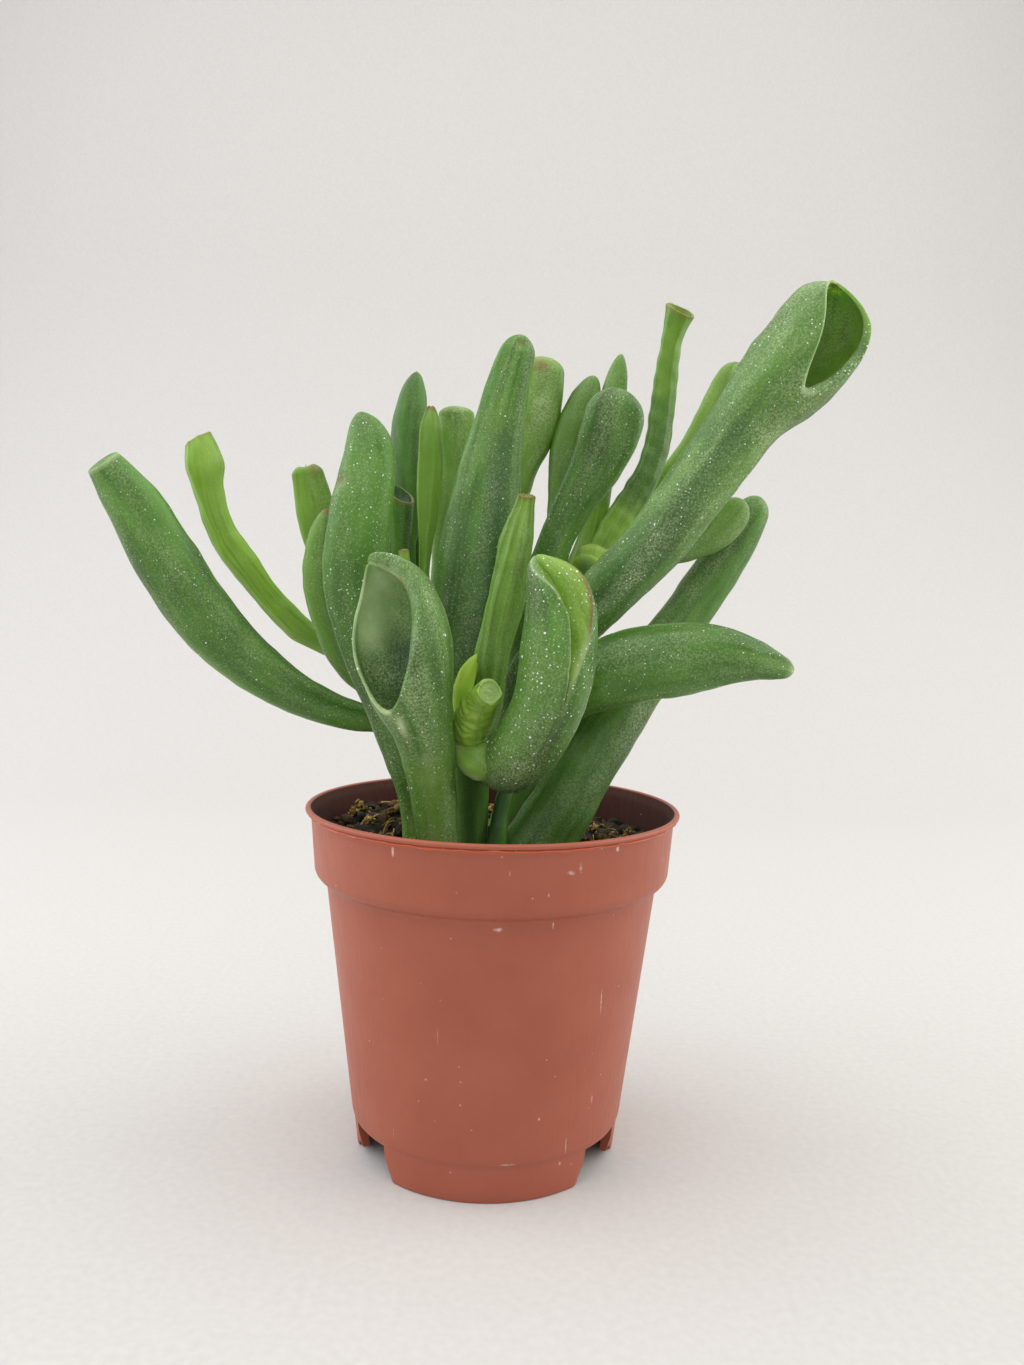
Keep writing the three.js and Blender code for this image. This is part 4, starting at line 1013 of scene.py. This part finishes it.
def scatter_crumbs():
    source = random.Random(11)
    form, form_faces = crumb_form()
    vertices, faces, tones = [], [], []

    def drop_crumb(x, y, size, raised, tone):
        if math.hypot(x, y) + size > CRUMB_REACH:
            return
        stretch = np.array([source.uniform(0.6, 1.5), source.uniform(0.6, 1.2), source.uniform(0.5, 1.0)])
        uneven = lumps(form, 0.9, source.randrange(9999)) + lumps(form, 0.45, source.randrange(9999))
        bumpy = form * (1 + 0.3 * uneven)[:, None]
        turn = source.uniform(0, 6.28)
        spin = Matrix.Rotation(turn, 3, Vector((source.gauss(0, 1), source.gauss(0, 1), 1)))
        level = float(soil_height(np.array(x), np.array(y)))
        high = level + source.uniform(-0.3, 0.5) * size + 0.15 + raised
        faces.append(form_faces + len(vertices) * len(form))
        vertices.append((bumpy * stretch * size) @ np.array(spin) + (x, y, high))
        tones.append(np.full(len(form), tone))

    for _ in range(CRUMBS):
        radius = CRUMB_SPREAD * math.sqrt(source.random())
        turn = source.uniform(0, 2 * math.pi)
        size = 0.25 + 0.8 * source.random() ** 2.4
        tone = min(0.5, max(-0.1, source.gauss(0.13, 0.14)))
        drop_crumb(radius * math.cos(turn), radius * math.sin(turn), size, 0.0, tone)
    for x, y in TUFTS:
        wide = source.uniform(1.3, 2.4)
        for _ in range(TUFT_CRUMBS):
            away, turn = abs(source.gauss(0, 0.5)), source.uniform(0, 2 * math.pi)
            raised = max(0.0, 0.9 - away) * source.uniform(0.2, 1.8)
            drop_crumb(x + wide * away * math.cos(turn), y + wide * away * math.sin(turn),
                       source.uniform(0.16, 0.44), raised, source.gauss(0.44, 0.15))
    crumbs = link_mesh("potting_soil_crumbs", np.vstack(vertices), np.vstack(faces).tolist(), SOIL_FINISH,
                       "potting_soil")
    store(crumbs, "tone", np.concatenate(tones))


def fibre_line(source):
    """A curled line that lies on the soil and lifts at one end, cut where it would meet the pot."""
    radius = FIBRE_SPREAD * math.sqrt(source.random())
    turn = source.uniform(0, 2 * math.pi)
    spot = np.array([radius * math.cos(turn), radius * math.sin(turn), 0.0])
    heading = source.uniform(0, 2 * math.pi)
    length = source.uniform(2.0, 6.0)
    curl = source.uniform(-1.6, 1.6)
    knots = []
    for _ in range(FIBRE_STEPS + 1):
        knots.append(spot)
        heading += curl / FIBRE_STEPS + source.uniform(-0.25, 0.25)
        spot = spot + length / FIBRE_STEPS * np.array([math.cos(heading), math.sin(heading), 0])
    line = np.array(knots)
    return line[np.hypot(line[:, 0], line[:, 1]) < FIBRE_REACH]


def lay_fibres():
    source = random.Random(23)
    vertices, faces, tones = [], [], []
    for _ in range(FIBRES):
        line = fibre_line(source)
        if len(line) < 4:
            continue
        line[:, 2] = soil_height(line[:, 0], line[:, 1]) + 0.5
        line[:, 2] += np.linspace(0, source.uniform(0.1, 1.2), len(line))
        girth = source.uniform(0.07, 0.16)
        skin = Tube(line, np.full(len(line), girth), 1.0, face=(0.1, 0.2, 1), tip=0.4).skin(
            FIBRE_SIDES, FIBRE_RINGS)
        faces += ring_faces(len(skin.s), FIBRE_SIDES, sum(len(v) for v in vertices))
        vertices.append(with_poles(skin.points, skin.points[0].mean(axis=0), skin.pole))
        tones.append(np.full(len(vertices[-1]), source.uniform(0.3, 0.8)))
    fibres = link_mesh("potting_soil_fibres", np.vstack(vertices), faces, SOIL_FINISH, "potting_soil")
    store(fibres, "tone", np.concatenate(tones))


lay_soil()
scatter_crumbs()
lay_fibres()


# Pot

POT_SIDES = 240
# points of the lip, as the distance in from its edge and down from its top: the thin flash line and the
# shallow groove above it, and the inner edge
LIP_FLASH = ((0.7, 1.14), (0.4, 1.05), (0.28, 0.93), (0.42, 0.8), (0.5, 0.72))
LIP_INSIDE = ((0.58, 0.02), (0.72, 0.1), (0.8, 0.25), (1.0, 0.7), (1.3, 1.1), (1.45, 1.6))
LIP_BEAD = 0.4
FLASH_HEIGHT = POT_HEIGHT - 0.95
# the rounding of a foot's lower corners: degrees from the middle of the foot to its start, how many more
# to its full bend, how high it reaches, and how far it lifts and draws in the corner
CORNER_START = 41
CORNER_SPREAD = 4
CORNER_HEIGHT = 3.5
CORNER_LIFT = 1.1
CORNER_INSET = 0.3


def pot_outline():
    """Half the pot's section, from the middle of its underside round the outside and back inside."""
    edge_top = BAND_UNDERSIDE + BAND_EDGE_RADIUS
    floor_top = FLOOR_UNDERSIDE + WALL
    ring_inside = BASE_RADIUS - FOOT_RING_THICK
    outline = [(0, FLOOR_UNDERSIDE), (9, FLOOR_UNDERSIDE), (17.6, FLOOR_UNDERSIDE)]
    outline += [(ring_inside, FLOOR_UNDERSIDE - 0.4), (ring_inside, 2.0), (ring_inside, 0.2)]
    outline += [(ring_inside + 0.15, 0), (BASE_RADIUS - 0.4, 0), (BASE_RADIUS - 0.22, 0.12)]
    # the foot ring stands a little inside the wall, with a fine line above it
    for z in np.linspace(0.5, FOOT_LINE - 0.3, 8):
        outline.append((pot_wall(z) - 0.2, z))
    outline += [(pot_wall(FOOT_LINE) - 0.14, FOOT_LINE - 0.1), (pot_wall(FOOT_LINE), FOOT_LINE + 0.12)]
    for z in np.linspace(FOOT_LINE + 0.5, BAND_UNDERSIDE - 1.2, 24):
        outline.append((pot_wall(z), z))
    # the cove under the band, then its round lower edge and its wall
    for turn in np.linspace(0.25, 1.0, 4):
        cove = 0.7 * (1 - math.cos(turn * 1.2))
        outline.append((BODY_TOP_RADIUS - 0.12 + cove, BAND_UNDERSIDE - 1 + turn))
    for turn in np.linspace(0.35, math.pi / 2, 9):
        outline.append((BAND_LOW_RADIUS - BAND_EDGE_RADIUS * (1 - math.sin(turn)),
                        edge_top - BAND_EDGE_RADIUS * math.cos(turn)))
    for share in np.linspace(0.1, 1, 10):
        outline.append((BAND_LOW_RADIUS + (BAND_TOP_RADIUS - 0.05 - BAND_LOW_RADIUS) * share,
                        edge_top + (POT_HEIGHT - 1.5 - edge_top) * share))
    # the lip: the flash line, a round bead on top, and the inner edge
    outline += [(LIP_RADIUS - inward, POT_HEIGHT - down) for inward, down in LIP_FLASH]
    for turn in np.linspace(-0.8, 1.45, 8):
        outline.append((LIP_RADIUS - LIP_BEAD + LIP_BEAD * math.cos(turn),
                        POT_HEIGHT - 0.38 + 0.38 * math.sin(turn)))
    outline += [(LIP_RADIUS - inward, POT_HEIGHT - down) for inward, down in LIP_INSIDE]
    # the inside of the band, the step and the body, down to the floor
    inner_radius, inner_top = LIP_RADIUS - 1.5, POT_HEIGHT - 2
    for share in np.linspace(0.1, 1, 8):
        outline.append((inner_radius + (BAND_LOW_RADIUS - WALL - inner_radius) * share,
                        inner_top + (edge_top + 0.5 - inner_top) * share))
    for outward, up in ((0.5, 1.4), (-0.3, 0.7), (-WALL, 0)):
        outline.append((BODY_TOP_RADIUS + outward, BAND_UNDERSIDE + up))
    for z in np.linspace(BAND_UNDERSIDE - 2, 7, 8):
        outline.append((pot_wall(z) - WALL, z))
    return outline + [(17.5, floor_top), (9, floor_top), (0, floor_top)]


def turned_shape(outline, sides):
    """An outline turned about the pot's axis."""
    shape = bmesh.new()
    rows = []
    for r, z in outline:
        if r == 0:
            rows.append([shape.verts.new(place((0, 0, z)))])
            continue
        row = []
        for j in range(sides):
            turn = 2 * math.pi * j / sides
            row.append(shape.verts.new(place((r * math.cos(turn), r * math.sin(turn), z))))
        rows.append(row)
    for a, b in zip(rows[:-1], rows[1:]):
        for j in range(sides):
            k = (j + 1) % sides
            if len(a) == 1:
                shape.faces.new((a[0], b[k], b[j]))
            elif len(b) == 1:
                shape.faces.new((a[j], a[k], b[0]))
            else:
                shape.faces.new((a[j], a[k], b[k], b[j]))
    bmesh.ops.recalc_face_normals(shape, faces=shape.faces)
    return shape


def notches_and_drains():
    """What is cut from the pot: the notches that part the foot ring into wide feet, and the drains."""
    shape = bmesh.new()
    for turn in NOTCH_TURNS:
        turned = Matrix.Rotation(math.radians(turn), 4, "Z")
        size = Matrix.Diagonal((NOTCH_DEPTH / 1000, NOTCH_WIDTH / 1000, 2 * NOTCH_HEIGHT / 1000, 1))
        box = Matrix.Translation((BASE_RADIUS / 1000, 0, 0)) @ size
        bmesh.ops.create_cube(shape, size=1, matrix=Matrix.Translation(place((0, 0, 0))) @ turned @ box)
    for i in range(DRAINS):
        turn = 2 * math.pi * i / DRAINS
        spot = place((DRAIN_CIRCLE * math.cos(turn), DRAIN_CIRCLE * math.sin(turn), FLOOR_UNDERSIDE + 0.3))
        bmesh.ops.create_cone(shape, cap_ends=True, segments=32, radius1=DRAIN_RADIUS / 1000,
                              radius2=DRAIN_RADIUS / 1000, depth=DRAIN_DEPTH / 1000,
                              matrix=Matrix.Translation(spot))
    return shape


def finished_mesh(name, shape):
    mesh = bpy.data.meshes.new(name)
    shape.to_mesh(mesh)
    shape.free()
    return mesh


def cut(piece, cutter):
    """Cuts one closed mesh from another and keeps the result."""
    boolean = piece.modifiers.new("cut", "BOOLEAN")
    boolean.operation = "DIFFERENCE"
    boolean.solver = "EXACT"
    boolean.object = cutter
    bpy.context.view_layer.update()
    shaped = bpy.data.meshes.new_from_object(piece.evaluated_get(bpy.context.evaluated_depsgraph_get()))
    piece.modifiers.clear()
    piece.data = shaped
    bpy.data.objects.remove(cutter)


def mould_pot():
    name = "terracotta_nursery_pot"
    pot = link_object(name, finished_mesh(name, turned_shape(pot_outline(), POT_SIDES)))
    name = "notches_and_drains"
    cut(pot, link_object(name, finished_mesh(name, notches_and_drains())))

    vertices = (np.array([v.co for v in pot.data.vertices]) - AXIS) * 1000
    radius = np.hypot(vertices[:, 0], vertices[:, 1])
    turn = np.arctan2(vertices[:, 1], vertices[:, 0])
    # each foot's lower corners are rounded
    from_foot = np.abs((np.degrees(turn) + 90 + 60) % 120 - 60)
    bend = smooth((from_foot - CORNER_START) / CORNER_SPREAD)
    bend = bend * np.clip(1 - vertices[:, 2] / CORNER_HEIGHT, 0, 1) * (radius > 15)
    vertices[:, :2] *= (1 - CORNER_INSET * bend / np.maximum(radius, 1))[:, None]
    vertices[:, 2] += CORNER_LIFT * bend
    # the moulding's flash under the lip wanders up and down
    at_flash = np.exp(-((vertices[:, 2] - FLASH_HEIGHT) / 0.14) ** 2) * (radius > BAND_TOP_RADIUS + 0.05)
    wander = np.sin(turn * 11) + np.sin(turn * 29 + 2) + np.sin(turn * 47)
    vertices[:, 2] += 0.08 * wander * at_flash
    for vertex, spot in zip(pot.data.vertices, place(vertices)):
        vertex.co = spot
    pot.data.update()
    pot.data.shade_smooth()
    pot.data.set_sharp_from_angle(angle=math.radians(38))
    pot.data.materials.clear()
    pot.data.materials.append(POT_PLASTIC)
    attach(pot, "root")
    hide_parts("pot")
    # the inside is painted darker, as shade, from the lip's inner edge down
    height = vertices[:, 2]
    painted_shade_inside = (radius < pot_wall(height) - 0.4) & (height > FLOOR_UNDERSIDE - 0.2)
    band_wall = np.interp(height, [BAND_UNDERSIDE + BAND_EDGE_RADIUS, POT_HEIGHT - 1.5, POT_HEIGHT - 1.2],
                          [BAND_LOW_RADIUS, BAND_TOP_RADIUS, LIP_RADIUS - 0.46])
    painted_shade_inside |= (radius < band_wall - 0.31) & (height > BAND_UNDERSIDE + 1.1)
    store(pot, "inner", painted_shade_inside * 1.0)
    # the flash line is painted bright, as a highlight on its burr
    store(pot, "flash_highlight", np.clip(at_flash * 1.2, 0, 1))


mould_pot()


# Floor and light

FLOOR_WIDTH = 2600.0
FLOOR_FRONT = -900.0
SWEEP_START = 260.0
SWEEP_RADIUS = 300.0
SWEEP_TOP = 1500.0
# the floor lies a hair under the feet, so that no two faces share a plane
FLOOR_GAP = 0.02

# each light: its name, where it hangs, where it points, how wide it is in metres, its watts and colour
LIGHTS = (
    ("broad_top_light", (-40, 0, 620), (0, 0, 60), 0.9, 2.9, "#FFFDFA"),
    ("left_window", (-520, 40, 300), (0, 0, 70), 0.6, 2.0, "#F8FAFF"),
    ("right_window", (520, 40, 300), (0, 0, 70), 0.6, 2.1, "#FFFCF8"),
    ("near_window", (-60, -230, 330), (0, 0, 70), 0.35, 0.15, "#FFFDFA"),
)
ROOM_COLOUR = "#F2F3F4"
ROOM_STRENGTH = 0.68


def lay_floor():
    """A pale sheet that sweeps up behind the plant."""
    shape = bmesh.new()
    profile = [(FLOOR_FRONT, 0.0), (SWEEP_START, 0.0)]
    for turn in np.linspace(0, math.pi / 2, 16)[1:]:
        profile.append((SWEEP_START + SWEEP_RADIUS * math.sin(turn), SWEEP_RADIUS * (1 - math.cos(turn))))
    profile.append((SWEEP_START + SWEEP_RADIUS, SWEEP_TOP))
    edges = (-FLOOR_WIDTH / 2, FLOOR_WIDTH / 2)
    rows = []
    for y, z in profile:
        rows.append([shape.verts.new(place((x, y, z - FLOOR_GAP))) for x in edges])
    for a, b in zip(rows[:-1], rows[1:]):
        shape.faces.new((a[0], a[1], b[1], b[0]))
    mesh = finished_mesh("pale_sweep", shape)
    mesh.shade_smooth()
    mesh.materials.append(plain_paper())
    sweep = link_object("pale_sweep", mesh)


def hang_light(name, spot, aim, width, power, colour):
    light = bpy.data.lights.new(name, "AREA")
    light.shape = "SQUARE"
    light.size = width
    light.energy = power
    light.color = linear(colour)[:3]
    lamp = link_object(name, light)
    lamp.location = place(spot)
    lamp.rotation_euler = (Vector(place(aim)) - lamp.location).to_track_quat("-Z", "Y").to_euler()


def fill_room():
    """The even pale light of the room, and colours shown as they are."""
    world = bpy.data.worlds.new("soft_room")
    world.use_nodes = True
    room = world.node_tree.nodes["Background"]
    set_inputs(world.node_tree, room, {"Color": ROOM_COLOUR, "Strength": ROOM_STRENGTH})
    bpy.context.scene.world = world
    bpy.context.scene.view_settings.view_transform = "Standard"


lay_floor()
for light in LIGHTS:
    hang_light(*light)
fill_room()
